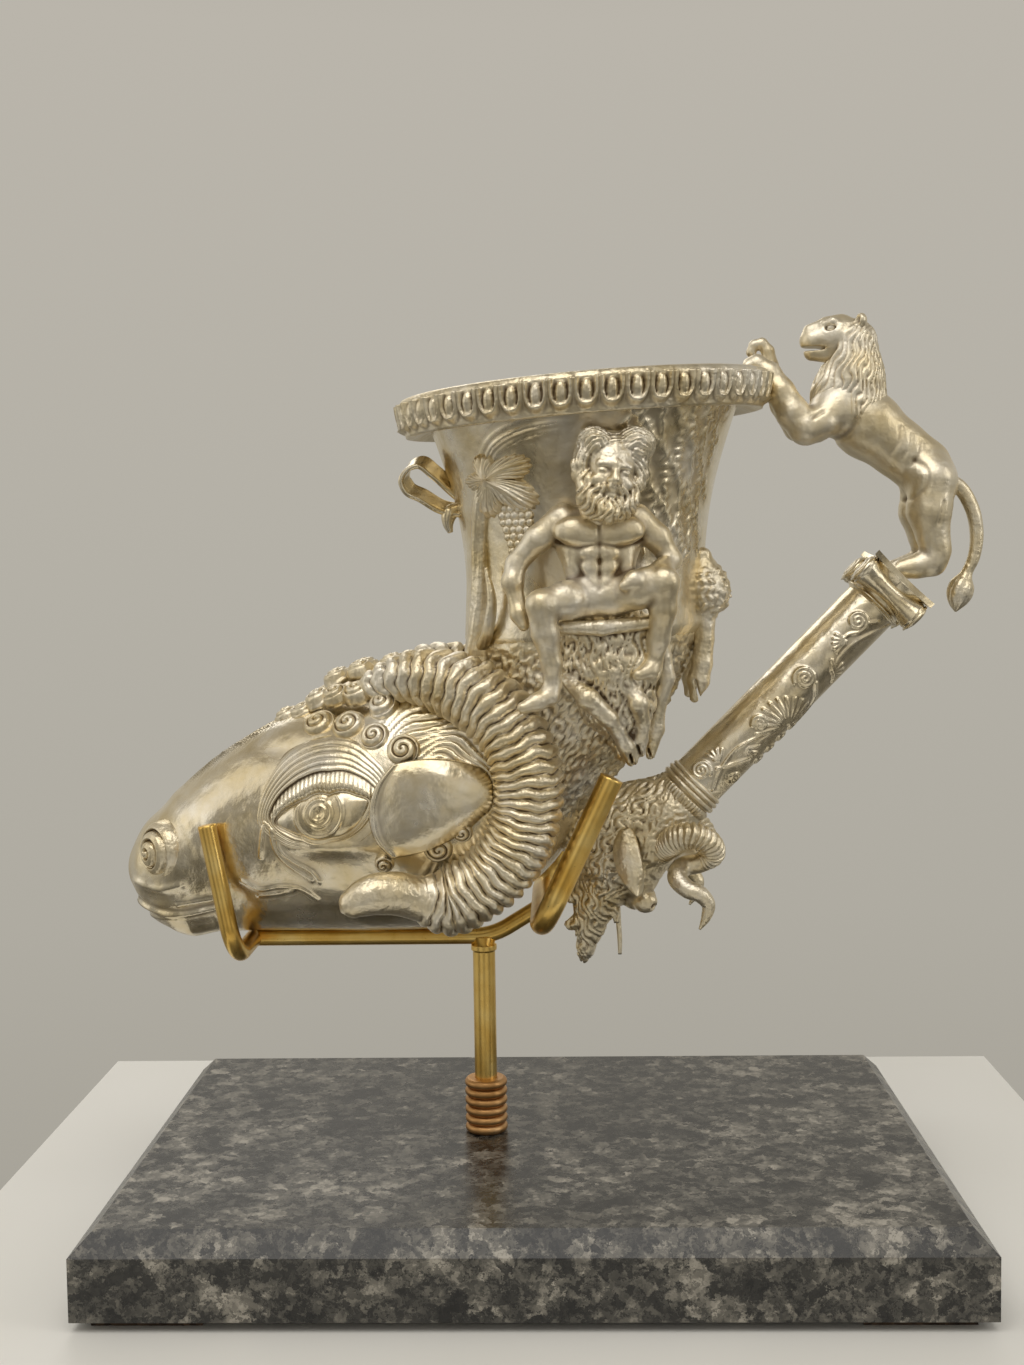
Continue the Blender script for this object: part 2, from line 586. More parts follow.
# fine hair sweeps round the middle of the horn's bow, beside the ear, and over the crown behind the curls
horn_x, horn_z = -30, 41
around_ear = np.degrees(np.arctan2(z - horn_z, x - horn_x))
from_ear = np.hypot(x - horn_x, z - horn_z)
swept = fade(from_ear - 7, 2) * fade(22 - from_ear, 3)
swept = swept * fade(around_ear + 10, 15) * fade(140 - around_ear, 15)
waves = 0.45 * np.sin(around_ear / 9 + from_ear / 4)
locks = np.abs(np.sin(np.pi * (from_ear / 1.7 + 0.03 * around_ear + waves))) ** 0.7
relief += 0.95 * swept * (locks - 0.35)
over = fade(x + 46, 4) * fade(16 - np.abs(y), 4) * (z > 45)
relief += 0.9 * over * (np.abs(np.sin(np.pi * (y + np.sin(x / 2.2)) / 2.4)) ** 0.7 - 0.35)
head = head + relief[..., None] * -outward(head)
head[..., 0] += np.interp(z, (1.7, 5.3, 8.8, 11.0), (3.0, 2.8, 0.8, 0.0)) * fade(-80 - x, 22)
# behind the crown the sheet is pressed down, clear of the inside of the cup
within = ((head[..., 0] - 2) / 21.5) ** 2 + (head[..., 1] / 24) ** 2
head[..., 2] -= fade(1.12 - within, 0.12) * np.maximum(0, head[..., 2] - jaw_level - 36)
silver_piece("ram_face", closed(head), "ram_head", finish=polished)


# Horns: cast hollow and soldered beside the ears, each a thick bow of wavy rings, finer towards the tip.
# The last part is left smooth and ends blunt under the ear.
def silver_pair(name, shell, node, **how):
    """The same piece on both sides of the cup: the far one is the mirror image of the near one."""
    points, quads, tris = shell
    far_shell = points * (1, -1, 1), quads[:, ::-1], tris[:, ::-1]
    silver_piece(name + "_near", shell, node + "_near", **how)
    silver_piece(name + "_far", far_shell, node + "_far", **how)


share = np.linspace(0, 1, 14)
angle = np.radians(126 - 209 * share)
reach = 24 + 6 * ((np.degrees(angle) - 5) / 120) ** 2
bow = np.c_[
    horn_x + reach * np.cos(angle),
    -13 - 21.5 * np.sin(np.pi / 2 * np.minimum(1, share / 0.62)),
    horn_z + reach * np.sin(angle) + jaw_level,
    3.6 + 4.8 * np.sin(np.pi / 2 * np.minimum(1, share / 0.35)),
]
point = [
    (-33.5, -36.6, 93.4, 5.6), (-39.5, -39.4, 95.2, 5.3), (-44.8, -41.0, 95.0, 4.9),
    (-48.6, -41.8, 93.4, 3.8), (-51.0, -42.0, 91.8, 2.2), (-51.8, -42.0, 91.2, 0.4),
]
steps = 500
horn = flow(np.r_[bow, point], steps)
thick = horn[:, 3:4]
length = np.linspace(0, 1, steps)[:, None]
turn = full_turn(60)[None, :]
spacing = 4.1 - 1.8 * fade(length, 0.5)
horn_length = 118
count = np.cumsum(horn_length / steps / spacing)[:, None]
wave = 0.13 * np.sin(4 * turn + 0.8 * count) + 0.06 * np.sin(9 * turn - 0.5 * count) + 0.12 * np.sin(turn + 1)
ring = np.abs(np.sin(np.pi * (count + wave)))
ringed = fade(0.84 - length, 0.03) * np.clip(length / 0.02, 0.3, 1)
knuckle = 0.8 + 0.35 * np.sin(3 * turn + 1.1 * np.sin(1.3 * count)) ** 2
knuckle = knuckle + 0.25 * bell(np.sin(turn / 2 - 0.4), 0.5)
proud = np.minimum(2.1, 0.66 * spacing) * ring**0.62 - 1.15
radius = thick + ringed * proud * knuckle * np.minimum(1, thick / 6)
silver_pair("horn_ringed", closed(carried(horn[:, :3], radius, 60)), "horn")


# Ears: beaten from sheet, a shell that opens forward, its root tucked under the bow of the horn.
# The front edge is turned into a fine bead.
front = flow([(-39.6, 47.8), (-43.4, 43.0), (-45.2, 36.4), (-44.0, 30.0), (-40.2, 25.0)], 60)
root = flow([(-16.6, 46.0), (-15.2, 43.4), (-14.8, 40.6), (-15.0, 37.8), (-16.4, 34.6)], 60)
depth = np.linspace(0, 1, 70)[:, None]
fall = np.linspace(-1, 1, 60)[None, :]
ear_x = front[None, :, 0] * depth + root[None, :, 0] * (1 - depth)
ear_z = front[None, :, 1] * depth + root[None, :, 1] * (1 - depth) - 2.2 * fall * np.sin(np.pi * depth) ** 0.8
bulge = 33.4 + 5.2 * np.sin(np.pi / 2 * depth**0.8)
bulge = bulge - 3.4 * np.abs(fall) ** 2.6 - 1.6 * depth**2 * (1 - fall**2)
lip = 0.8 * bell(depth - 0.975, 0.03)
outer = np.stack([ear_x, -(bulge + lip), ear_z + jaw_level], -1)
inner = np.stack([ear_x + 0.6 * depth, -(bulge - 1.6 - 2.5 * (1 - depth)), ear_z + jaw_level], -1)
silver_pair("ear_shell", closed(np.concatenate([outer, inner[:, ::-1]], 1)), "ear", finish=polished)


# Eyes: chased up from behind as one almond, then cut from the front with lids, lashes and iris rings.
# Five folds of skin run above it like ripples and die out towards the ear.
def polar(stops, angle):
    """A closed line seen from the middle of the eye: its distance at each angle, straight between stops."""
    stops = np.array(stops, float)
    bearing = np.arctan2(stops[:, 1], stops[:, 0])
    order = np.argsort(bearing)
    far = np.hypot(stops[:, 0], stops[:, 1])[order]
    bearing = bearing[order]
    turned = (angle + np.pi) % (2 * np.pi) - np.pi
    knots = np.r_[bearing - 2 * np.pi, bearing, bearing + 2 * np.pi]
    smooth = np.interp(turned, knots, np.r_[far, far, far])
    window = np.hanning(13) / np.hanning(13).sum()
    return np.convolve(np.r_[smooth[-6:], smooth, smooth[:6]], window, "valid")


bearing = full_turn(240)
ball = [
    (12.8, 2.0), (9.0, 3.6), (2.0, 4.3), (-4.0, 3.9), (-7.4, 2.8), (-12.6, -1.0),
    (-8.4, -3.6), (-4.9, -5.2), (2.5, -6.4), (7.4, -5.2), (11.4, -1.0),
]
lash = [
    (15.0, 3.4), (9.0, 8.6), (2.0, 10.1), (-4.0, 9.6), (-7.4, 8.1), (-14.0, 0.2),
    (-9.4, -4.9), (-4.9, -6.6), (2.5, -7.8), (8.0, -6.6), (13.6, -1.4),
]
brow = [
    (18.0, 6.0), (13.0, 13.0), (9.0, 16.6), (2.5, 18.6), (-2.5, 18.2), (-6.4, 17.0), (-10.8, 14.3),
    (-14.2, 10.0), (-16.8, 4.0), (-17.4, -1.2), (-12.4, -5.8), (-4.9, -8.6), (2.5, -9.8),
    (9.0, -8.6), (16.0, -2.0),
]
ball, lash, brow = (polar(stops, bearing) for stops in (ball, lash, brow))
# rings of points from the middle: over the ball to 1, over the lids to 2, over the folds to 3
steps = np.r_[np.linspace(0.02, 1, 50), np.linspace(1.04, 2, 26), np.linspace(2.03, 3.0, 46), 3.06, 3.14]
inside = np.clip(steps, 0, 1)[:, None]
lid = np.clip(steps - 1, 0, 1)[:, None]
fold = np.clip(steps - 2, 0, 1.2)[:, None]
along_fold = np.clip(fold, 0, 1)
far = inside * ball + lid * (lash - ball) + fold * (brow - lash)
eye_x, eye_z = far * np.cos(bearing), far * np.sin(bearing)
upper = np.clip(np.sin(bearing) * 2.2 + 0.5, 0, 1)[None, :]
left_side = np.clip(-np.cos(bearing) * 2, 0, 1)[None, :]
iris = np.hypot(eye_x + 0.3, eye_z - 0.2)
rings = 0.34 * bell(iris - 6.2, 0.4) + 0.32 * bell(iris - 3.4, 0.4) + 0.26 * bell(iris - 1.9, 0.35)
rings = rings - 0.5 * bell(iris, 0.8)
hatch = 0.62 * (np.abs(np.sin(eye_x * np.pi / 1.15 + 0.35 * eye_z)) ** 0.5 - 0.6)
hatch = hatch * (upper > 0.6) * np.sin(np.pi * lid) ** 0.5
fading = 1 - 0.65 * np.clip(np.cos(bearing) * 1.8, 0, 1)[None, :]
ripple = 0.2 * np.sin(np.pi * 4 * lid) * (1 - upper)
on_ball = 1.7 * np.sqrt(np.maximum(0, 1 - inside**2)) + rings * fade(0.95 - inside, 0.12) - 0.35
on_lid = -0.35 + (0.5 + 0.95 * upper) * np.sin(np.pi * lid**0.75) + hatch + ripple + 0.35 * lid
on_fold = 0.62 * fading * np.abs(np.sin(np.pi * 5.5 * along_fold)) ** 0.45 + 0.3 * (1 - fold)
on_fold = on_fold * np.maximum(upper, 0.3 * left_side) * (1 - 0.45 * along_fold) + 0.1
shape = np.where(lid <= 0, on_ball, np.where(fold <= 0, on_lid, on_fold))
shape = np.where(fold > 0.9, shape - (fold - 0.9) * 6.0, shape)
place_x, place_z = -58.1 + eye_x, 35.2 + eye_z + 0.12 * eye_x
middle, rise, _ = section_at(place_x)
across = np.clip((place_z - middle) / rise, -0.99, 0.99)
surface = on_head(place_x, np.arccos(across))
lean = unit(np.stack([0.22 + 0 * eye_x, 0 * eye_x + 0.95, -0.22 * across], -1) * (-1, -1, -1))
shell = closed(surface + shape[..., None] * lean)
silver_pair("eye_chased", shell, "eye", finish=polished, blur=0.6)


# Nostrils: a coil like a snail's house on each side of the muzzle, chased round and round.
# Curls of wool: the same coil, smaller, in rows over the forehead and beside the ears.
def coil(centre, normal, radius, rise, turns, rows=26, around=38, start=0.0, sag=0.5):
    """A coil seen from above: a dome whose height falls in a spiral, one groove for each turn."""
    normal = unit(normal)
    side = unit(np.cross(normal, (0.31, 0.2, 0.93)))
    lift = np.cross(side, normal)
    out = np.linspace(0.03, 1, rows)[:, None]
    angle = full_turn(around)[None, :]
    groove = bell(np.sin(np.pi * (out * turns - angle / (2 * np.pi) + start)), 0.42)
    cut = min(1.3, 0.34 * rise) * groove * fade(1.02 - out, 0.1)
    height = rise * (1 - sag * out**1.6) - cut - 0.9 * rise * out**12
    flat = radius * out * (1 + 0.04 * np.sin(angle + start * 9))
    grid = np.array(centre) + height[..., None] * normal
    grid = grid + (flat * np.cos(angle))[..., None] * side + (flat * np.sin(angle))[..., None] * lift
    return closed(grid)


def gather(*shells):
    """Several shells as one: points one after another, faces counted on."""
    starts = np.cumsum([0] + [len(points) for points, _, _ in shells])
    return (
        np.concatenate([points for points, _, _ in shells]),
        np.concatenate([quads + n for (_, quads, _), n in zip(shells, starts)]),
        np.concatenate([tris + n for (_, _, tris), n in zip(shells, starts)]),
    )


nostril = (-102.2, -11.8, 23.4 + jaw_level)
shell = coil(nostril, (-0.74, -0.67, 0.02), 8.8, 6.2, 3.6, rows=70, around=96, sag=0.75)
silver_pair("nostril_coil", shell, "nostril")

# place along the head, angle from the crown, lift and radius; each curl stands on both sides
curl_places = [
    (-71.0, 4, 0.0, 3.6), (-66.0, 12, 0.0, 3.9), (-60.2, 34, 0.0, 4.3), (-52.0, 42, 0.0, 4.4),
    (-44.8, 53, 0.0, 4.0), (-37.2, 63, 0.2, 4.4), (-60.6, 14, 2.2, 3.8), (-49.6, 25, 2.4, 3.9),
    (-55.4, 21, 2.6, 3.6), (-43.0, 37, 1.0, 3.9), (-55.6, 5, 4.6, 3.7), (-49.0, 10, 5.0, 3.8),
    (-42.6, 20, 3.4, 3.7), (-41.6, 6, 3.6, 3.7), (-28.8, 106, 0.0, 4.0), (-22.8, 101, 0.0, 2.8),
    (-42.6, 110, 0.0, 2.6), (-36.4, 30, 1.6, 3.5), (-36.0, 14, 2.0, 3.5),
]
curl_places = [(a, hand * b, c, d) for a, b, c, d in curl_places for hand in (1, -1)]
curls = []
for number, (along, tilt, lift, size) in enumerate(curl_places):
    spot_on = on_head(np.array([along]), np.radians([tilt]))[0]
    ahead_of = on_head(np.array([along + 0.5, along]), np.radians([tilt, tilt + 1.0]))
    square = np.cross(ahead_of[0] - spot_on, ahead_of[1] - spot_on)
    square *= np.sign(square[2] * np.cos(np.radians(tilt)) - square[1] * np.sin(np.radians(tilt)))
    square = unit(square)
    seat = spot_on + (lift - 0.9) * square
    curls.append(coil(seat, square, 1.08 * size, 3.0, 2.4, start=0.37 * number, sag=0.55))
silver_piece("wool_curls", gather(*curls), "forehead_curls", blur=0.6)


# Beaker: raised from one sheet, flaring to the mouth, with a swag and a leafy ground beside the figures.
# Its mouth leans a little back, so its rounds lie on tilted planes; inside it runs on down into the neck.
beaker_x = 9.0
mouth_height = 142.5
seat_height = 80.0
beaker_depth = mouth_height - seat_height
rim_tilt, rim_nod = np.radians([3.9, 2.0])
# share of the depth and distance out
beaker_profile = np.array([(0, 43.5), (0.10, 40.7), (0.26, 37.2), (0.44, 34.0), (0.70, 31.6), (1.0, 32.0)])


def on_beaker(share, angle, out, drop=0.0):
    """A point of the beaker: a round at a share of the depth, on a plane tilted like the mouth."""
    x, y = out * np.cos(angle), out * np.sin(angle)
    z = mouth_height - share * beaker_depth - drop + jaw_level
    z = z + x * np.sin(rim_tilt) + y * np.sin(rim_nod)
    return np.stack(np.broadcast_arrays(beaker_x + x, y, z), -1)


angle = full_turn(400)[None, :]
down = np.linspace(1.0, 0.0, 105)[:, None]
out = bend(beaker_profile[:, 0], beaker_profile[:, 1], down.ravel())[:, None]
leafage = 0 * (down + angle)
mean_out = 36
strokes = 260
for number in range(strokes):
    stroke_angle = -1.36 + 0.9 * ((number * 0.618) % 1) + 0.06 * np.sin(number)
    stroke_down = 0.10 + 0.62 * (number + 0.5) / strokes
    lean = 2.4 * np.sin(number * 1.7)
    for hand in (1, -1):
        beside = np.angle(np.exp(1j * (angle - hand * stroke_angle))) * hand * mean_out
        below = (down - stroke_down) * beaker_depth
        length = beside * np.cos(lean) + below * np.sin(lean)
        bow = below * np.cos(lean) - beside * np.sin(lean) - 0.15 * length**2
        leafage = np.maximum(leafage, np.exp(-((length / 1.5) ** 2) - (bow / 0.55) ** 2))
out = out + 0.55 * leafage
# a swag hangs from the vine leaf up to the right under the rim, drawn by angle and depth
swag_stops = [(0.0, 20.0), (5.0, 14.6), (12.0, 11.6), (20.0, 10.4), (27.0, 10.6)]
for hand in (1, -1):
    across = np.angle(np.exp(1j * (hand * angle + 2.36))) * mean_out
    swag = nearness(across + 0 * down, (down + 0 * angle) * beaker_depth, swag_stops, 24)
    fading = fade(26 - across, 14)
    out = out + fading * (0.7 * bell(swag, 0.7) + 0.35 * bell(swag - 1.9, 0.5))
sides = on_beaker(down, angle, out)
up_inside = np.linspace(0.0, 0.96, 40)[:, None]
wall = 1.6
hollow_out = bend(beaker_profile[:, 0], beaker_profile[:, 1], up_inside.ravel())[:, None] - wall
sides = np.concatenate([sides, on_beaker(up_inside, angle, hollow_out + 0 * angle)])
# below the foot the throat narrows into the head: share of the depth, distance out, place of its middle
throat = np.array([
    (1.0, 30.0, 9.0), (1.144, 26.3, 7.0), (1.384, 22.0, 3.0),
    (1.55, 17.0, -2.5), (1.63, 10.0, -4.5), (1.64, 0.5, -4.5),
])
weight = 40
deep, deep_out, deep_x = flow(throat * (weight, 1, 1), 26).T[:, :, None]
deep = deep / weight
aside = np.stack([deep_x - beaker_x, 0 * deep_x, 0 * deep_x], -1)
well = on_beaker(deep, angle, deep_out + 0 * angle) + aside
under = (on_beaker(deep + 0.02, angle, deep_out + 1.2 + 0 * angle) + aside)[::-2]
shell = closed(np.concatenate([under, sides, well]))
x, y, z = shell[0].T
beside = np.exp(-(((x - 12) / 16) ** 4)) * np.exp(-(((z - jaw_level - 108) / 24) ** 4)) * (np.abs(y) > 20)
silver_piece("beaker_raised", shell, "beaker", finish=polished, soil=0.16 * beside)


# Rim: a cast flange soldered round the mouth, with fifty eggs in raised borders and a dart between them.
# Under the eggs the flange runs back to the beaker as a plain hollow.
def looped(grid):
    """Faces over a grid that runs round both ways, as a ring or a wall does."""
    rows, columns = grid.shape[:2]
    number = np.arange(rows * columns).reshape(rows, columns)
    number = np.r_[number, number[:1]]
    number = np.c_[number, number[:, :1]]
    return grid.reshape(-1, 3), meshed(number), np.zeros((0, 3), int)


eggs = 50
columns = eggs * 18
angle = full_turn(columns)[None, :]
# profile from inside the mouth over the top edge, down the face and back underneath: distance out, drop
edge = np.array([(41.9, 3.0), (41.7, 0.5), (43.0, -0.3), (46.6, -0.6), (47.9, -0.2), (48.2, 0.6)])
face_drop = np.linspace(0.8, 8.6, 46)
face = np.c_[48.3 - 0.09 * (face_drop - 0.8) ** 1.4, face_drop]
under = np.array([(46.6, 9.2), (45.6, 9.3), (44.6, 8.9), (43.2, 8.0), (42.0, 7.6), (40.0, 7.6)])
profile = np.r_[edge, face, under]
egg_a = ((angle / (2 * np.pi) * eggs) % 1 - 0.5) * 6.1
egg_b = profile[:, 1:2] - 4.7
oval = np.hypot(egg_a / 1.45, (egg_b + 0.3) / 3.0)
border = np.hypot(egg_a / 2.75, np.maximum(egg_b + 0.8, 0) / 4.1 + 0 * egg_a)
raised = 1.4 * np.sqrt(np.maximum(0, 1 - oval**2)) + 1.45 * bell(border - 0.86, 0.17) * (egg_b > -3.8)
raised = raised + 0.55 * bell(np.abs(egg_a) - 3.05, 0.3) * fade(2.6 - egg_b, 2)
on_face = np.zeros((len(profile), 1))
on_face[len(edge) : len(edge) + len(face)] = 1.0
out = profile[:, 0:1] + raised * on_face
grid = on_beaker(np.zeros((len(profile), 1)), angle, out, profile[:, 1:2])
silver_piece("rim_egg_and_dart", turned_out(looped(grid)), "rim_moulding", blur=0.6)


# Neck: the sheet that rises from the head to the foot of the beaker, chased as shaggy locks.
# It is one with the head, and the horns and the figures' seats lie against it.
def strands(across, along, width, swing, length):
    """Hair: rounded ridges of a given width, side by side, that swing to and fro along their length."""
    sway = swing * np.sin(2 * np.pi * along / length + 1.3 * np.sin(0.9 * across))
    return np.abs(np.sin(np.pi * (across + sway) / width)) ** 0.7


# height, place of the middle, half length and half width
neck_sections = np.array([
    (22.0, -14.0, 12.0, 17.0), (38.0, -6.0, 20.0, 25.0), (56.0, 3.0, 25.5, 29.6),
    (71.0, 7.0, 29.5, 31.4), (81.5, 9.0, 31.7, 31.7),
])
tall = np.linspace(22, 81.2, 120)
middle, half_length, half_width = bend(neck_sections[:, 0], neck_sections[:, 1:], tall).T[:, :, None]
tall = tall[:, None]
angle = full_turn(250)[None, :]
neck_x, neck_y = middle + half_length * np.cos(angle), half_width * np.sin(angle)
slant = (tall / 81) ** 6 * ((neck_x - beaker_x) * np.sin(rim_tilt) + neck_y * np.sin(rim_nod))
grid = np.stack([neck_x, neck_y, tall + jaw_level + slant], -1)
locks = 1.1 * strands(angle * 30 + 0.12 * tall, tall + 3 * np.sin(angle * 7), 2.6, 1.5, 9.0)
rough = 0.25 * np.sin(angle * 11 + tall / 3) * np.sin(tall / 2.6 + 2 * np.cos(angle * 5))
locks = (locks - 0.4) * fade(80 - tall, 6) + rough * fade(79 - tall, 4)
core = grid.mean(1, keepdims=True)
inside = (grid - core) * (0.93, 0.93, 1) + core
outside = grid + locks[..., None] * -outward(grid)
silver_piece("neck_shaggy", turned_out(looped(np.concatenate([outside, inside[::-6]]))))


# Seated satyrs: one cast figure on each side of the beaker, chased after casting and soldered on.
# Flesh is left as it was cast, with firm chest and belly; one foot hangs down to the ram's horn.
def kept_out(shell):
    """Presses what would stand inside the cup into its wall, straight away from the middle line."""
    points, quads, tris = shell
    x, y, z = points.T
    depth = mouth_height + (x - beaker_x) * np.sin(rim_tilt) + y * np.sin(rim_nod) - (z - jaw_level)
    depth = depth / beaker_depth
    wall = np.r_[beaker_profile[:, 1] - 0.8, throat[1:, 1] + 0.6]
    wall = np.interp(depth, np.r_[beaker_profile[:, 0], throat[1:, 0]], wall)
    middle = np.interp(depth, throat[:, 0], throat[:, 2])
    away = np.maximum(np.hypot(x - middle, y), 1.0)
    further = np.where((depth > -0.05) & (depth < 1.5), np.maximum(1.0, wall / away), 1.0)
    return np.stack([middle + (x - middle) * further, y * further, z], 1), quads, tris


def space(low, high, step):
    """The points of an even grid that fills a box."""
    axes = [np.arange(a, b + step, step, dtype=np.float32) for a, b in zip(low, high)]
    return np.stack(np.meshgrid(*axes, indexing="ij"), -1)


def melt(a, b, soft):
    """Two forms run together: the nearer distance, rounded where both are within reach of each other."""
    share = np.clip(0.5 + 0.5 * (b - a) / soft, 0, 1)
    return b * (1 - share) + a * share - soft * share * (1 - share)


def limb(block, stops, soft=1.0):
    """Distance outside a limb: to the nearest place of each bone, less the flesh there, melted in turn."""
    gap = None
    for start, end in zip(stops[:-1], stops[1:]):
        joint = np.array(start[:3], np.float32)
        run = np.array(end[:3], np.float32) - joint
        share = np.clip((block - joint) @ run / (run @ run), 0, 1)
        flesh = start[3] + share * (end[3] - start[3])
        away = np.linalg.norm(block - joint - share[..., None] * run, axis=-1) - flesh
        gap = away if gap is None else melt(gap, away, soft)
    return gap


def lump(block, centre, radii):
    """Distance outside an egg-shaped swelling, near enough: its scaled radius over its scaled slope."""
    q = (block - np.array(centre, np.float32)) / np.array(radii, np.float32)
    near = np.linalg.norm(q, axis=-1)
    slope = np.linalg.norm(q / np.array(radii, np.float32), axis=-1)
    return near * (near - 1) / np.maximum(slope, 1e-4)


def skin(gap, low, step):
    """The surface where a distance is nil: in each cell of the grid that it crosses, one point at the mean of
    the crossings on the cell's edges, and a face across each crossed edge between its four cells."""
    size = np.array(gap.shape) - 1
    total = np.zeros((*size, 3), np.float32)
    count = np.zeros(size, np.float32)
    whole = [slice(0, n) for n in size]
    faces = []
    for axis in range(3):
        other = [n for n in range(3) if n != axis]
        before = [slice(None)] * 3
        after = [slice(None)] * 3
        before[axis], after[axis] = slice(None, -1), slice(1, None)
        start, end = gap[tuple(before)], gap[tuple(after)]
        crossed = (start < 0) != (end < 0)
        share = np.where(crossed, start / np.where(crossed, start - end, 1), 0)
        for i in (0, 1):
            for j in (0, 1):
                part = list(whole)
                part[other[0]] = slice(i, i + size[other[0]])
                part[other[1]] = slice(j, j + size[other[1]])
                here = crossed[tuple(part)]
                count += here
                total[..., axis] += np.where(here, share[tuple(part)], 0)
                total[..., other[0]] += here * i
                total[..., other[1]] += here * j
        inner = list(whole)
        inner[other[0]] = slice(1, size[other[0]])
        inner[other[1]] = slice(1, size[other[1]])
        spots = np.argwhere(crossed[tuple(inner)])
        spots[:, other[0]] += 1
        spots[:, other[1]] += 1
        rising = start[tuple(spots.T)] < 0
        ring = []
        for i, j in ((1, 1), (0, 1), (0, 0), (1, 0)):
            cell = spots.copy()
            cell[:, other[0]] -= i
            cell[:, other[1]] -= j
            ring.append(np.ravel_multi_index(cell.T, size))
        ring = np.stack(ring, 1)
        if axis == 1:
            rising = ~rising
        faces.append(np.where(rising[:, None], ring, ring[:, ::-1]))
    filled = count > 0
    index = np.full(count.size, -1)
    index[filled.ravel()] = np.arange(filled.sum())
    cells = np.argwhere(filled)
    points = (cells + total[filled] / count[filled][:, None]) * step + np.array(low)
    quads = index[np.concatenate(faces)]
    return turned_out((points, quads, np.zeros((0, 3), int)))


step = 0.44
low = np.array([-14.0, -50.0, 58.0])
block = space(low, (34.0, -27.0, 116.0), step)
body = lump(block, (11.6, -35.5, 102.0), (10.6, 6.6, 9.0))
body = melt(body, lump(block, (12.0, -36.0, 89.0), (8.0, 6.8, 6.6)), 5.0)
for chest_x in (6.3, 17.3):
    body = melt(body, lump(block, (chest_x, -40.4, 104.0), (5.3, 2.6, 3.7)), 1.4)
for row, high in enumerate((98.8, 95.4, 92.0)):
    for belly_x in (9.6, 13.9):
        body = melt(body, lump(block, (belly_x, -41.0 + 0.2 * row, high), (2.1, 1.1, 1.7)), 1.1)
for flank_x in (5.4, 18.2):
    body = melt(body, lump(block, (flank_x, -37.2, 96.5), (2.2, 3.2, 5.0)), 1.8)
# joints of arms and legs, each a place and the flesh round it
# arms: one props the figure on its seat, the other rests on the raised knee
prop_arm = [
    (3.2, -36.0, 107.2, 4.0), (-3.0, -36.5, 102.5, 3.2), (-8.2, -35.8, 96.8, 2.5),
    (-9.2, -36.8, 92.4, 2.6), (-8.2, -37.4, 87.6, 1.8), (-7.6, -38.2, 84.6, 2.2),
    (-6.6, -39.4, 81.8, 1.4),
]
rest_arm = [
    (20.6, -35.8, 107.0, 4.0), (26.0, -35.6, 102.4, 3.2), (29.2, -35.4, 97.2, 2.5),
    (26.6, -39.6, 94.6, 2.5), (22.4, -42.8, 93.2, 1.8), (19.8, -44.6, 92.4, 2.1),
    (17.4, -45.6, 91.0, 1.3),
]
# legs: the thighs spread, one shin straight down, the other drawn back
straight_leg = [
    (9.4, -36.8, 88.0, 4.9), (3.4, -41.6, 87.8, 4.5), (-2.2, -44.8, 86.8, 3.6),
    (-1.4, -43.8, 80.0, 3.2), (0.0, -42.2, 73.0, 2.5), (0.2, -41.0, 67.6, 2.0),
    (-0.6, -41.4, 65.0, 2.3), (-3.6, -43.0, 63.6, 2.0), (-7.0, -44.6, 62.4, 1.4),
]
drawn_leg = [
    (14.8, -36.8, 88.2, 4.9), (21.0, -41.0, 90.0, 4.5), (27.0, -43.2, 91.8, 3.6),
    (26.8, -41.4, 85.4, 3.2), (25.8, -38.6, 78.4, 2.7), (24.8, -36.4, 72.8, 2.0),
    (23.6, -37.4, 70.6, 2.1), (20.8, -39.4, 69.6, 1.5),
]
for joints, soft in ((prop_arm, 1.6), (rest_arm, 1.6), (straight_leg, 1.5), (drawn_leg, 1.5)):
    body = melt(body, limb(block, joints, 1.2), soft)
# grooves: breastbone, belly line, ribs and the fold of the groin
x, y, z = np.moveaxis(block, -1, 0)
front = (y < -38).astype(np.float32)
for stops, depth, wide in (
    ([(11.8, 107.0), (11.8, 102.0)], 0.35, 0.7),
    ([(11.8, 101.0), (11.7, 90.0)], 0.3, 0.6),
    ([(2.0, 101.6), (7.0, 100.2), (11.8, 101.0), (16.6, 100.2), (21.6, 101.6)], 0.4, 0.7),
    ([(6.0, 97.0), (8.6, 93.0), (11.7, 90.4), (15.0, 93.0), (17.4, 97.0)], 0.15, 0.6),
):
    groove = depth * bell(nearness(x[:, 0, :], z[:, 0, :], stops, 16), wide)
    body = body + front * groove[:, None, :]
shell = kept_out(skin(body, low + jaw, step))
silver_pair("satyr_seated", shell, "satyr", finish=cast, soil=0.05)


# Satyrs' heads: cast apart and pinned on, full-bearded, with a wreath of curls over the brow.
# The face is calm and regular: eyes at half height, nose and mouth on the usual thirds.
step = 0.3
low = np.array([-6.0, -55.0, 103.0])
block = space(low, (31.0, -33.0, 134.0), step)
# the head leans to one side and looks past the viewer
lean, look = np.radians([9.0, 14.0])
pivot = np.array([11.5, -40.0, 111.0], np.float32)
right_of = np.array([np.cos(lean) * np.cos(look), np.cos(lean) * np.sin(look), -np.sin(lean)])
above = np.array([np.sin(lean), 0.0, np.cos(lean)])
turned = np.stack([right_of, np.cross(above, right_of), above], 1).astype(np.float32)
block = (block - pivot - np.array([1.0, 0, 0])) @ turned + pivot
x, y, z = np.moveaxis(block, -1, 0)
face_x = 11.5
face = lump(block, (face_x, -41.5, 119.6), (6.2, 6.6, 6.8))
face = melt(face, lump(block, (face_x, -43.6, 115.2), (4.7, 4.8, 4.6)), 2.0)
face = melt(face, limb(block, [(face_x, -38.0, 108.5, 4.6), (face_x, -39.5, 114.0, 4.4)]), 1.5)
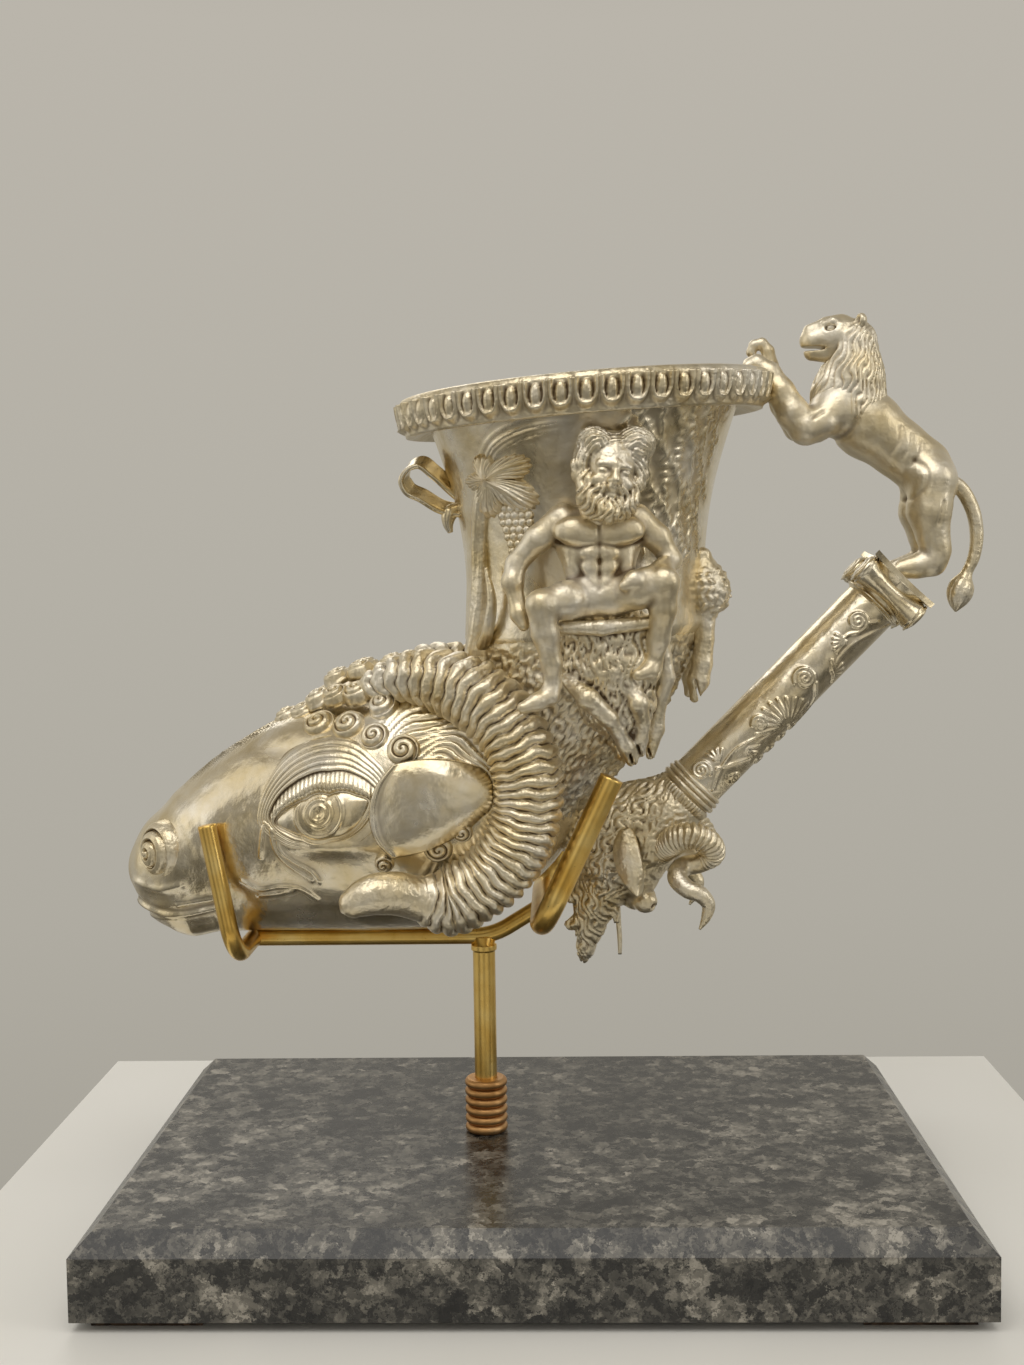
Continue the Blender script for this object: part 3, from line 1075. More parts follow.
# brow, nose, cheeks, lips and lids
brow = [(8.0, -46.8, 119.6, 0.9), (face_x, -47.8, 119.8, 0.9), (15.0, -46.8, 119.6, 0.9)]
nose = [(face_x, -47.8, 119.2, 0.8), (face_x, -49.4, 116.2, 1.15)]
upper_lip = [(9.9, -47.8, 113.6, 0.5), (face_x, -48.4, 113.8, 0.6), (13.1, -47.8, 113.6, 0.5)]
lower_lip = [(10.2, -47.6, 112.7, 0.5), (face_x, -48.1, 112.5, 0.65), (12.8, -47.6, 112.7, 0.5)]
face = melt(face, limb(block, brow), 0.9)
face = melt(face, limb(block, nose), 0.8)
for away in (-1, 1):
    face = melt(face, lump(block, (face_x + 1.1 * away, -48.6, 115.9), (0.8, 0.8, 0.7)), 0.5)
    face = -melt(-face, lump(block, (face_x + 2.7 * away, -48.6, 118.2), (1.7, 1.5, 1.0)), 0.5)
    face = melt(face, lump(block, (face_x + 2.7 * away, -46.8, 118.1), (1.35, 1.1, 0.75)), 0.25)
    face = melt(face, lump(block, (face_x + 3.4 * away, -46.4, 115.6), (1.9, 1.5, 1.6)), 1.0)
face = melt(face, limb(block, upper_lip), 0.4)
face = melt(face, limb(block, lower_lip), 0.4)
# beard and hair: thick masses combed in strands
whiskers = [
    (5.4, -43.6, 116.0, 2.0), (6.6, -45.0, 111.6, 2.4), (face_x, -47.4, 108.6, 2.6),
    (16.4, -45.0, 111.6, 2.4), (17.6, -43.6, 116.0, 2.0),
]
moustache = [(8.4, -47.2, 113.6, 1.0), (face_x, -48.6, 114.9, 0.8), (14.6, -47.2, 113.6, 1.0)]
beard = melt(lump(block, (face_x, -44.0, 110.2), (6.6, 4.2, 4.0)), limb(block, whiskers), 1.2)
beard = melt(beard, limb(block, moustache), 0.5)
beard = beard + 0.55 - 0.9 * strands(x + 0.35 * (z - 110) * np.sign(x - face_x), z, 1.7, 0.5, 5.0)
hair = lump(block, (face_x, -39.8, 121.4), (8.4, 6.6, 6.6))
for bearing in np.linspace(-0.35, np.pi + 0.35, 11):
    aside, rise = np.cos(bearing), np.sin(bearing)
    centre = (face_x + 7.4 * aside, -44.0 + 1.2 * np.abs(aside), 118.6 + 5.9 * rise)
    hair = melt(hair, lump(block, centre, (2.1, 2.1, 2.1)), 0.5)
sweep = np.hypot(x - face_x, z - 117) * 1.3 + 0.5 * np.arctan2(z - 117, x - face_x) * 6
hair = hair + 0.35 - 0.6 * strands(sweep, y, 1.5, 0.4, 4.0)
# the wreath is gathered into two thick knots beside the crown
for knot_x, knot_z, size in ((6.8, 124.8, 3.6), (17.0, 125.6, 4.6)):
    knot = lump(block, (knot_x, -42.0, knot_z), (size, 4.2, 0.9 * size))
    sweep = np.hypot(x - knot_x, z - knot_z + 3) * 1.1 + 0.8 * y
    hair = melt(hair, knot + 0.3 - 0.75 * strands(sweep, x - z, 1.5, 0.35, 4.0), 1.2)
head_form = melt(melt(face, beard, 0.35), hair, 0.35)
shell = kept_out(skin(head_form, low + jaw, step))
silver_pair("satyr_head_cast", shell, "satyr_head", blur=0.6)


# Goatskins: a rock seat under each figure with a shaggy skin thrown over it, legs and hooves left hanging.
# The fleece is cut in wavy strands that fall to a point.
step = 0.45
low = np.array([-8.0, -48.0, 42.0])
block = space(low, (34.0, -18.0, 92.0), step)
x, y, z = np.moveaxis(block, -1, 0)
fleece = lump(block, (13.5, -32.0, 80.0), (14.0, 8.0, 6.0))
fleece = melt(fleece, lump(block, (14.5, -31.5, 72.0), (12.5, 8.6, 10.0)), 3.0)
fleece = melt(fleece, lump(block, (16.0, -29.5, 62.0), (9.6, 7.6, 8.0)), 3.0)
fleece = melt(fleece, limb(block, [(17.0, -29.0, 60.0, 6.4), (18.6, -26.6, 51.0, 4.0)]), 2.0)
spread = x + 0.22 * (x - 15) * (80 - z) / 12
fleece = fleece + 0.45 - 0.85 * strands(spread, z + 2.5 * np.sin(x * 0.8), 2.1, 0.9, 7.5)
ledge = limb(block, [(-1.0, -38.6, 81.4, 1.7), (12.0, -41.6, 81.0, 1.8), (26.0, -38.4, 82.4, 1.7)], 1.0)
fleece = melt(fleece, ledge, 0.6)
front_leg = [
    (2.0, -35.0, 70.0, 1.4), (8.6, -39.0, 64.0, 2.7), (13.6, -37.0, 59.0, 2.2),
    (16.0, -34.6, 55.4, 1.8), (18.0, -32.4, 51.6, 2.1), (19.4, -31.0, 48.0, 1.6),
]
middle_leg = [
    (16.6, -35.0, 72.0, 1.4), (21.0, -37.6, 62.6, 2.4), (22.2, -34.0, 57.4, 1.7),
    (21.6, -31.6, 53.4, 1.9), (21.4, -30.4, 50.0, 1.5),
]
back_leg = [
    (27.4, -28.0, 76.0, 2.0), (28.4, -27.0, 68.0, 2.1), (26.4, -25.6, 61.0, 1.9),
    (25.6, -24.6, 55.0, 2.3), (24.4, -24.0, 48.4, 1.2),
]
for leg in (front_leg, middle_leg, back_leg):
    fleece = melt(fleece, limb(block, leg, 0.8), 0.7)
    hoof = np.array(leg[-1][:3])
    slit = np.abs((x - hoof[0]) + 0.3 * (z - hoof[2])) + np.maximum(0, np.abs(z - hoof[2]) - 2.0)
    fleece = np.maximum(fleece, 0.32 - slit - np.maximum(0, y - hoof[1]))
silver_pair("goatskin_shaggy", kept_out(skin(fleece, low + jaw, step)), "goatskin")


# Skin legs: on each side a leg of the skin hangs free beside the handle, from a boss down to its hoof.
# The boss is a knot of tight curls, cast with the leg and soldered to the beaker's foot.
step = 0.4
low = np.array([28.0, -19.0, 56.0])
block = space(low, (50.0, 1.0, 102.0), step)
x, y, z = np.moveaxis(block, -1, 0)
boss = lump(block, (40.2, -9.0, 89.4), (6.4, 6.0, 7.2))
tight = np.sin(1.5 * x + np.sin(1.3 * z)) * np.sin(1.5 * z + np.sin(1.4 * y)) * np.cos(0.9 * y + 0.4 * x)
boss = boss + 0.5 - 0.9 * np.abs(tight)
boss = melt(boss, limb(block, [(39.0, -9.0, 98.0, 2.6), (39.6, -9.0, 92.0, 4.4)]), 2.0)
shank = [
    (39.6, -9.0, 84.0, 3.0), (39.4, -9.0, 77.0, 2.6), (38.8, -9.0, 70.5, 2.7),
    (37.8, -9.0, 66.0, 2.9), (36.8, -9.0, 61.6, 1.3),
]
boss = melt(boss, limb(block, shank, 0.8), 1.2)
boss = melt(boss, limb(block, [(31.0, -12.0, 90.0, 3.2), (37.0, -9.0, 88.0, 3.6)]), 1.6)
boss = np.maximum(boss, 0.3 - np.abs(x - 37.4 + 0.25 * (z - 64)) - np.maximum(0, z - 66.5))
silver_pair("skin_leg_cast", kept_out(skin(boss, low + jaw, step)), "skin_leg", blur=0.6)


# Vine: a gnarled stem on each side of the front, with one broad leaf and a bunch of grapes.
# Stem and leaf are chased up from the sheet, the grapes are punched.
def drawn(stops, count, around, place):
    """A rod drawn along a smooth line through the stops, each a place and a radius."""
    line = flow(stops, count)
    return closed(carried(line[:, :3] + place, line[:, 3], around))


stem = [
    (-18.6, -14.0, 72.0, 4.0), (-18.2, -16.0, 80.0, 3.0), (-17.6, -17.0, 90.0, 2.5),
    (-17.6, -18.4, 104.0, 2.2), (-17.0, -22.2, 113.0, 1.9), (-16.8, -24.6, 118.0, 0.6),
]
stem = flow(stem, 150)
turn = full_turn(36)[None, :]
rise_along = np.linspace(0, 1, 150)[:, None]
knots = 1 + 0.16 * np.abs(np.sin(2.5 * turn + 5 * rise_along))
knots = knots + 0.18 * bell(rise_along - 0.42, 0.03) * (np.sin(turn) > 0.3)
trunk = closed(carried(stem[:, :3] + jaw, stem[:, 3:4] * knots, 36))
shoot = [
    (-19.4, -13.0, 74.0, 1.8), (-16.0, -22.5, 80.0, 1.5), (-14.8, -24.8, 88.0, 1.2),
    (-16.2, -24.0, 96.0, 0.4),
]
shell = kept_out(gather(trunk, drawn(shoot, 60, 20, jaw)))
silver_pair("vine_stem", shell, "vine_trunk", blur=0.6)

# leaf: five pointed lobes round the stalk, a vein down each, notched edges, laid on the curve of the beaker
bearing = full_turn(300)[None, :]
out = np.linspace(0.02, 1, 44)[:, None]
lobes = 0.56 + 0.44 * np.abs(np.cos(2.5 * bearing)) ** 1.1 + 0.07 * np.abs(np.sin(20 * bearing))
lobes = lobes * (1 + 0.25 * np.cos(bearing))
ridge = np.exp(-((1 - np.abs(np.cos(2.5 * bearing))) / 0.03) * out)
notches = np.abs(np.sin(20 * bearing + 4 * out))
height = 3.0 + 0.7 * ridge * (1 - 0.5 * out) + 0.5 * notches * out - 1.6 * out**2 - 2.2 * out**10
turned = bearing + np.radians(-38)
leaf_angle = np.radians(-131) + 12.0 * lobes * out * np.cos(turned) / 35
leaf_high = 117.4 + 8.4 * lobes * out * np.sin(turned)
down = beaker_profile[:, 0] * beaker_depth
round_out = np.interp(mouth_height - leaf_high, down, beaker_profile[:, 1]) + height
leaf_x, leaf_y = beaker_x + round_out * np.cos(leaf_angle), round_out * np.sin(leaf_angle)
shell = closed(np.stack([leaf_x, leaf_y, leaf_high + jaw_level], -1))
silver_pair("vine_leaf_chased", shell, "vine_leaf", blur=0.6)


def berry(centre, radius):
    """A grape: a ball of a few dozen faces."""
    down = np.linspace(0.25, np.pi - 0.25, 7)[:, None]
    angle = full_turn(10)[None, :]
    ball = (np.sin(down) * np.cos(angle), np.sin(down) * np.sin(angle), np.cos(down))
    return closed(np.array(centre) + radius * np.stack(np.broadcast_arrays(*ball), -1))


berries = []
for row, wide in enumerate((4, 5, 5, 4, 4, 3, 3, 2, 2, 1)):
    for n in range(wide):
        aside = (n - (wide - 1) / 2) * 2.0
        high = 110.5 - 1.75 * row
        bearing = np.arctan2(-27.0, -21.0) + (aside + 3.4) / 33
        depth = np.array([(mouth_height - high) / beaker_depth])
        round_out = bend(beaker_profile[:, 0], beaker_profile[:, 1], depth)[0]
        centre = (beaker_x + round_out * np.cos(bearing), round_out * np.sin(bearing), high + jaw_level)
        berries.append(berry(centre, 1.15 + 0.2 * ((n + row) % 2)))
silver_pair("grapes_punched", kept_out(gather(*berries)), "grapes", blur=0.5)


# Ribbon: a flat silver strip looped and tied on the front of the beaker, its ends hanging from a knot.
# The strip is rounded along its edges and bent by hand.
loop = [
    (-21.5, -3.0, 113.6), (-25.0, -4.4, 116.6), (-30.0, -5.2, 121.2), (-33.8, -4.8, 123.8),
    (-36.4, -4.2, 122.8), (-38.0, -3.8, 119.6), (-37.0, -3.6, 117.2), (-33.4, -3.6, 115.2),
    (-28.4, -3.6, 112.2), (-22.6, -3.6, 111.0),
]
loop = flow(loop, 160)
way = unit(np.gradient(loop, axis=0))
broad = unit(np.cross(np.cross(way, (0.35, 0.75, 0.55)), way))
square = np.cross(way, broad)
turn = full_turn(28)[:, None]
flat = np.sign(np.cos(turn)) * np.abs(np.cos(turn)) ** 0.5 * 2.6
thick = np.sign(np.sin(turn)) * np.abs(np.sin(turn)) ** 0.6 * 0.6 * (1 + 0.5 * np.abs(np.cos(turn)))
strip = closed(loop[:, None] + jaw + flat * broad[:, None] + thick * square[:, None])
ends = [
    (-24.0, -4.0, 112.0, 1.2), (-26.2, -4.0, 110.6, 2.1), (-26.8, -4.2, 107.8, 1.5),
    (-26.2, -4.4, 105.4, 0.7),
]
shell = kept_out(gather(strip, drawn(ends, 40, 20, jaw)))
silver_piece("ribbon_strip", shell, "ribbon_loop", finish=polished, blur=0.6)


# Handle column: a tube of rolled sheet set at about 45 degrees, engraved with scrolls and a palmette.
# The ornament is drawn on the lower half, the same on both sides of its lowest line.
slope = np.radians(45.1)
column_radius = 7.4
column_end = 72.0
column_foot = np.array([33.5, 0.0, 34.0 + jaw_level])
column_way = np.array([np.cos(slope), 0.0, np.sin(slope)])
column_down = np.array([np.sin(slope), 0.0, -np.cos(slope)])
column_side = np.array([0.0, -1.0, 0.0])


def on_column(along, angle, out):
    """A point round the handle's axis; the angle is counted from the lowest line towards the near side."""
    along, angle, out = np.broadcast_arrays(along, angle, out)
    ring = np.cos(angle)[..., None] * column_down + np.sin(angle)[..., None] * column_side
    return column_foot + along[..., None] * column_way + out[..., None] * ring


def volute(along, around, size, turns, hand, start):
    """A scroll: a spiral that closes in on its eye, as stops on the unrolled sheet."""
    turn = np.linspace(0, 1, int(10 * turns))
    angle = start + hand * 2 * np.pi * turns * turn
    out = size * (1 - 0.86 * turn)
    return np.c_[along + out * np.cos(angle), around + out * np.sin(angle)]


along = np.linspace(6.0, column_end, 240)[:, None]
angle = np.linspace(-np.pi, np.pi, 170, endpoint=False)[None, :]
unrolled = column_radius * np.abs(angle)
lines = [
    volute(9.5, 14.0, 2.6, 2.2, 1, -1.2),
    volute(14.0, 5.2, 1.8, 2.0, -1, 1.5),
    volute(29.0, 11.6, 2.2, 2.0, -1, 2.6),
    volute(37.0, 3.6, 1.9, 2.0, 1, 0.4),
    volute(45.5, 11.6, 3.0, 2.3, -1, 2.8),
    volute(column_end - 6.5, 12.2, 2.7, 2.2, 1, -2.2),
    [(8.0, 8.0), (13.0, 10.4), (19.0, 11.4), (26.0, 9.6), (34.0, 6.0), (40.0, 5.0)],
    [(12.6, 11.4), (17.0, 9.0), (21.0, 6.6)],
    [(50.0, 4.4), (54.0, 8.4), (60.0, 9.0), (66.0, 7.0), (71.0, 4.0)],
    [(46.6, 8.6), (43.0, 4.4), (38.0, 2.6)],
    [(64.0, 9.8), (61.0, 11.6), (58.0, 11.4)],
    [(67.0, 10.0), (69.0, 8.2)],
]
# tufts of leaves beside the scrolls, and the palmette's fan
for root_along, root_around, fan in (
    (14.0, 12.4, np.linspace(0.2, 1.5, 4)),
    (33.0, 5.2, np.linspace(-0.2, 2.5, 11)),
    (59.5, 10.4, np.linspace(1.4, 2.9, 5)),
    (22.0, 9.6, np.linspace(-2.2, -0.9, 3)),
    (51.5, 7.4, np.linspace(-1.4, 0.6, 5)),
):
    leaf = 8.4 if len(fan) > 5 else 3.4
    for spread in fan:
        share = np.array([0.15, 0.5, 1.0])
        curve = np.c_[np.cos(spread + 0.25 * share), np.sin(spread + 0.25 * share)]
        lines.append((root_along, root_around) + (share * leaf)[:, None] * curve)
engraved = np.zeros(np.broadcast(along, unrolled).shape)
unrolled_full, along_full = np.broadcast_arrays(unrolled, along)
for stops in lines:
    engraved = np.maximum(engraved, bell(nearness(along_full, unrolled_full, stops, 24), 0.42))
# a chain of small rings along the lowest line
chain = np.hypot((along_full - 20) % 4.2 - 2.1, unrolled_full - 2.6)
engraved = np.maximum(engraved, bell(chain - 1.3, 0.4) * (along_full > 20) * (along_full < 37))
tube = on_column(along, angle, column_radius + 0.5 * engraved)
silver_piece("column_engraved", closed(tube), "handle_column", finish=polished, blur=0.6)


# Column rings: a wide hatched band and three fine wires at the foot of the tube.
# They are soldered to the goat's neck and hide the seam.
ring_profile = [
    (-1.0, 6.6), (-0.6, 7.6), (0.6, 8.1), (2.0, 8.0), (2.4, 7.5), (2.8, 8.2), (3.4, 8.5),
    (4.0, 8.2), (4.2, 7.7), (4.5, 8.2), (5.0, 8.4), (5.5, 8.1), (5.7, 7.6), (6.0, 8.0),
    (6.4, 8.1), (6.8, 7.8), (7.0, 7.3),
]
ringed = flow(np.c_[ring_profile, np.zeros(len(ring_profile))], 90)[:, :2]
angle = full_turn(200)[None, :]
hatch = 0.18 * np.sin(angle * 48) * fade(2.2 - ringed[:, 0:1], 0.5)
rings = on_column(ringed[:, 0:1], angle, ringed[:, 1:2] + hatch)
silver_piece("column_rings_wire", closed(rings), "column_rings", blur=0.6)


# Capital: a bell that flares from the tube under a thin plate, with a waisted spool along each side of it.
# The thin abacus on top is a separate plate with hollowed sides.
up_bell = np.linspace(0, 1, 60)[:, None]
angle = full_turn(240)[None, :]
corner = np.abs(np.cos(2 * (angle - np.pi / 4)))
flare = 7.5 + bell(up_bell - 0.1, 0.05) + (1.0 + 2.6 * corner**1.2) * fade(up_bell - 0.25, 0.75) ** 2.2
flared = closed(on_column(71.2 + 9.2 * up_bell, angle, flare))
# a spool lies along each side, waisted in the middle, with a coil on both ends
scrolls = []
for hand in (1, -1):
    share = np.linspace(-1, 1, 60)
    beside = on_column(np.array([76.2]), np.array([hand * np.pi / 2]), np.array([column_radius]))
    spool = beside + 9.4 * share[:, None] * column_down
    girth = 2.4 + 2.1 * np.abs(share) ** 2.0 - 0.5 * bell(np.abs(share) - 0.95, 0.04)
    scrolls.append(closed(carried(spool, girth, 48, tuple(column_way))))
    for end in (0, -1):
        scrolls.append(coil(spool[end], column_down * share[end], 4.1, 1.0, 2.4, rows=26, around=48))
silver_piece("capital_bell", gather(flared, *scrolls), "capital", finish=polished, blur=0.6)
dressed(polished, "abacus")


# Lion: cast solid, rearing from the abacus with its forepaws at the rim.
# The hide is smooth, with ribs and haunch cut in; the mane is combed in long wavy locks.
perch = np.array([91.4, 0.0, 92.1]) + jaw
step = 0.4
low = np.array([-46.0, -13.0, -2.0])
block = space(low, (24.0, 13.0, 66.0), step)
x, y, z = np.moveaxis(block, -1, 0)
# joints, each a place and the flesh round it
trunk = [
    (-15.0, 0, 45.0, 8.0), (-8.0, 0, 39.6, 8.3), (0.0, 0, 33.4, 7.0),
    (6.0, 0, 28.6, 6.8), (8.8, 0, 24.0, 6.4),
]
beast = limb(block, trunk, 3.0)
for side in (-1, 1):
    leg = [
        (7.6, 4.2 * side, 25.0, 6.4), (6.8, 4.6 * side, 17.0, 5.3), (7.8, 4.5 * side, 10.6, 3.8),
        (8.8, 4.5 * side, 6.6, 3.1), (7.8, 4.5 * side, 3.4, 2.8), (3.6, 4.5 * side, 2.7, 2.6),
        (-0.4, 4.6 * side, 2.2, 2.4),
    ]
    hind = limb(block, leg, 2.6)
    for toe in (-1.5, 0.0, 1.5):
        hind = melt(hind, lump(block, (-1.6, 4.6 * side + toe, 1.8), (1.5, 0.8, 1.4)), 0.3)
    beast = melt(beast, hind, 2.2)
near_arm = [
    (-17.5, -4.2, 43.4, 4.6), (-21.6, -5.6, 39.9, 4.6), (-25.2, -6.2, 38.8, 4.4),
    (-28.6, -5.8, 42.8, 4.2), (-31.6, -5.2, 48.2, 3.7), (-34.2, -4.4, 53.0, 2.9),
    (-37.4, -4.0, 55.6, 2.3), (-39.2, -3.8, 55.4, 1.9),
]
near_arm = limb(block, near_arm, 1.0)
for toe in (-1.4, 0.0, 1.4):
    near_arm = melt(near_arm, lump(block, (-39.8, -3.8 + toe, 55.0), (1.4, 0.75, 1.3)), 0.3)
far_arm = [
    (-17.5, 4.2, 43.4, 4.6), (-22.0, 6.0, 40.0, 4.4), (-25.6, 6.0, 40.0, 3.6),
    (-29.4, 5.8, 46.0, 3.4), (-31.6, 5.4, 51.6, 2.9), (-32.8, 5.0, 56.2, 2.2),
    (-33.4, 4.8, 60.0, 1.7), (-35.0, 4.8, 62.0, 1.5), (-37.0, 4.8, 61.6, 1.4),
    (-37.9, 4.8, 59.8, 1.2), (-37.0, 4.8, 58.4, 0.9),
]
far_arm = limb(block, far_arm, 0.5)
beast = melt(melt(beast, near_arm, 3.2), far_arm, 3.2)
# ribs, haunch and elbow folds, seen from the side
for stops, depth, wide in (
    ([(-1.2, 38.6), (-1.8, 34.6), (-3.4, 32.0)], 0.28, 0.6),
    ([(1.6, 36.8), (0.8, 33.0), (-0.8, 30.4)], 0.28, 0.6),
    ([(4.2, 34.8), (3.4, 31.4), (1.8, 28.8)], 0.28, 0.6),
    ([(2.4, 30.0), (5.0, 27.4), (4.6, 22.6), (2.0, 20.0)], 0.35, 0.7),
    ([(-12.0, 45.0), (-12.6, 40.0), (-15.6, 36.4), (-20.4, 36.0)], 0.4, 0.8),
    ([(-24.0, 40.8), (-21.0, 42.6)], 0.5, 0.5),
    ([(9.4, 19.0), (8.2, 13.6)], 0.4, 0.5),
):
    groove = depth * bell(nearness(x[:, 0, :], z[:, 0, :], stops, 14), wide)
    beast = beast + groove[:, None, :]
silver_piece("lion_cast", skin(beast, low + perch, step), "lion_body", finish=cast)

# the head and mane
step = 0.32
low = np.array([-32.0, -11.5, 36.0])
block = space(low, (2.0, 11.5, 74.0), step) - np.array([2.0, 0, -1.6], np.float32)
x, y, z = np.moveaxis(block, -1, 0)
muzzle = limb(block, [(-19.5, 0, 64.6, 4.1), (-24.4, 0, 63.4, 3.4)])
skull = melt(lump(block, (-16.8, 0, 64.2), (6.0, 5.2, 5.4)), muzzle, 2.0)
skull = melt(skull, limb(block, [(-18.0, 0, 60.6, 3.4), (-24.6, 0, 60.3, 2.1)]), 1.0)
skull = melt(skull, limb(block, [(-17.0, 0, 67.8, 2.2), (-21.0, 0, 67.3, 1.9), (-25.2, 0, 66.2, 1.5)]), 1.2)
for side in (-1, 1):
    skull = melt(skull, lump(block, (-24.6, 1.5 * side, 62.8), (2.0, 1.5, 1.6)), 0.7)
    skull = -melt(-skull, lump(block, (-20.2, 3.5 * side, 66.2), (1.6, 1.2, 1.0)), 0.5)
    skull = melt(skull, lump(block, (-20.0, 2.9 * side, 66.1), (1.2, 0.9, 0.8)), 0.2)
    brow = [(-22.0, 2.4 * side, 67.4, 0.7), (-19.6, 3.5 * side, 67.9, 0.8), (-17.6, 3.9 * side, 66.6, 0.7)]
    skull = melt(skull, limb(block, brow), 0.6)
    ear = lump(block, (-12.6, 4.3 * side, 67.8), (1.5, 1.7, 1.9))
    ear = -melt(-ear, lump(block, (-14.0, 5.0 * side, 68.0), (1.1, 1.1, 1.3)), 0.3)
    skull = melt(skull, ear, 0.6)
gape = lump(block, (-24.8, 0, 61.2), (4.0, 5.0, 0.6))
skull = -melt(-skull, gape, 0.3)
mane = limb(block, [(-14.0, 0, 62.4, 6.2), (-14.0, 0, 54.0, 7.6), (-13.6, 0, 47.0, 8.4)], 2.0)
mane = melt(mane, lump(block, (-19.4, 0, 49.0), (5.4, 6.4, 6.6)), 3.0)
mane = melt(mane, lump(block, (-15.0, 0, 44.0), (8.4, 8.2, 5.0)), 2.0)
fall = np.arctan2(y, -(x + 9.0))
mane = mane + 0.35 - 0.7 * strands(9.5 * fall + 0.18 * (z - 50), z + 2.0 * np.sin(3 * fall), 1.45, 0.5, 8.0)
mane = np.maximum(mane, -lump(block, (-22.5, 0, 63.4), (5.6, 7.0, 6.2)))
shell = skin(melt(skull, mane, 0.4), low + perch, step)
silver_piece("lion_head_cast", shell, "lion_head", finish=cast, blur=0.6)

# the tail hangs behind and ends in a leaf-shaped tuft
tail = [
    (11.0, 0, 25.4, 2.2), (15.2, 0, 23.6, 2.0), (18.6, 0, 18.6, 1.9), (20.2, 0, 11.6, 1.8),
    (19.4, 0, 4.6, 1.6), (17.6, 0, 0.6, 1.6), (16.4, 0, -2.6, 3.0), (15.6, 0, -5.4, 2.9),
    (15.0, 0, -8.0, 1.5), (14.8, 0, -9.4, 0.2),
]
tail = flow(tail, 160)
turn = full_turn(40)[None, :]
length = np.linspace(0, 1, 160)[:, None]
tufted = fade(length - 0.74, 0.06)
radius = tail[:, 3:4] * (1 + tufted * (0.16 * np.abs(np.sin(3 * turn + 6 * length)) - 0.05))
silver_piece("lion_tail_cast", closed(carried(tail[:, :3] + perch, radius, 40)), "lion_tail", blur=0.6)

# a bead of solder on the rim under the raised paw
bead = [
    (53.4, -1.6, 145.8, 0.3), (53.5, -1.6, 146.2, 1.6), (53.7, -1.6, 147.4, 2.0),
    (53.9, -1.6, 148.6, 1.6), (54.0, -1.6, 149.2, 0.3),
]
silver_piece("rim_knob", drawn(bead, 24, 24, jaw))


# Goat's head at the foot of the handle: cast, nose down, its long hair running over into the ram's neck.
# Hair and beard are deeply cut; ears and horn tips are left smooth.
step = 0.43
low = np.array([-42.0, -15.0, -36.0])
block = space(low, (10.0, 15.0, 12.0), step)
x, y, z = np.moveaxis(block, -1, 0)
bones = [
    (2.0, 0, 2.0, 6.8), (-4.0, 0, -4.0, 8.0), (-9.0, 0, -11.0, 8.2),
    (-12.2, 0, -20.0, 6.0), (-12.2, 0, -26.0, 4.0),
]
skull = limb(block, bones, 3.0)
mane = [(-2.0, 0, 1.0, 6.2), (-11.0, 0, -3.2, 7.2), (-20.0, 0, -5.2, 8.2), (-30.0, 0, -5.0, 8.4)]
throat_hair = [(-17.0, 0, -6.0, 9.0), (-19.0, 0, -15.0, 8.4), (-20.0, 0, -23.0, 6.6)]
hair = melt(limb(block, mane, 3.0), limb(block, throat_hair, 3.0), 3.0)
across = 0.8 * (x + 14) - 0.6 * (z + 8) + 0.7 * np.abs(y)
combed = strands(across, 0.6 * x + 0.8 * z + 1.5 * np.sin(0.6 * y), 2.0, 1.1, 6.5)
hair = hair + 0.55 - 1.0 * combed
furred = strands(0.8 * x - 0.6 * z + 0.8 * np.abs(y), 0.6 * x + 0.8 * z, 1.6, 0.7, 5.0)
skull = skull + 0.25 - 0.5 * furred * fade(z + 26, 5)
goat = melt(skull, hair, 1.0)
for side in (-1, 1):
    # brow, eye and nostril lobes
    brow = [(-9.6, 6.6 * side, -10.0, 1.3), (-6.0, 7.4 * side, -11.8, 1.4), (-4.2, 6.6 * side, -15.0, 1.2)]
    goat = melt(goat, limb(block, brow), 0.8)
    goat = melt(goat, lump(block, (-7.6, 7.0 * side, -14.6), (2.1, 1.3, 1.7)), 0.4)
    goat = melt(goat, lump(block, (-9.6, 3.4 * side, -27.0), (3.2, 2.6, 3.0)), 0.8)
    goat = -melt(-goat, lump(block, (-7.4, 4.6 * side, -28.0), (1.0, 1.4, 0.8)), 0.4)
silver_piece("goat_head_cast", skin(goat, low + column_foot, step), "goat_head")

# beard: a twisted tuft with smaller ones standing off it
step = 0.34
low = np.array([-36.0, -9.0, -46.0])
block = space(low, (-10.0, 9.0, -14.0), step)
x, y, z = np.moveaxis(block, -1, 0)
tuft = [
    (-20.5, 0, -20.0, 6.6), (-23.0, 0, -28.0, 5.2), (-24.4, 0, -34.0, 3.6),
    (-25.6, 0, -40.0, 2.0), (-26.0, 0, -43.0, 0.9),
]
beard = limb(block, tuft, 2.0)
beard = melt(beard, limb(block, [(-26.0, -1.5, -24.0, 2.4), (-29.2, -2.0, -26.0, 1.2)]), 0.8)
beard = melt(beard, limb(block, [(-26.6, -1.5, -32.0, 2.0), (-29.6, -2.0, -33.2, 1.3)]), 0.8)
beard = melt(beard, limb(block, [(-19.0, -2.0, -26.0, 2.2), (-17.4, -2.4, -32.0, 0.7)]), 0.8)
beard = beard + 0.45 - 0.85 * strands(x + 0.25 * z + 0.6 * np.abs(y), z, 1.7, 0.7, 6.0)
silver_piece("goat_beard_cast", skin(beard, low + column_foot, step), "goat_beard", blur=0.6)

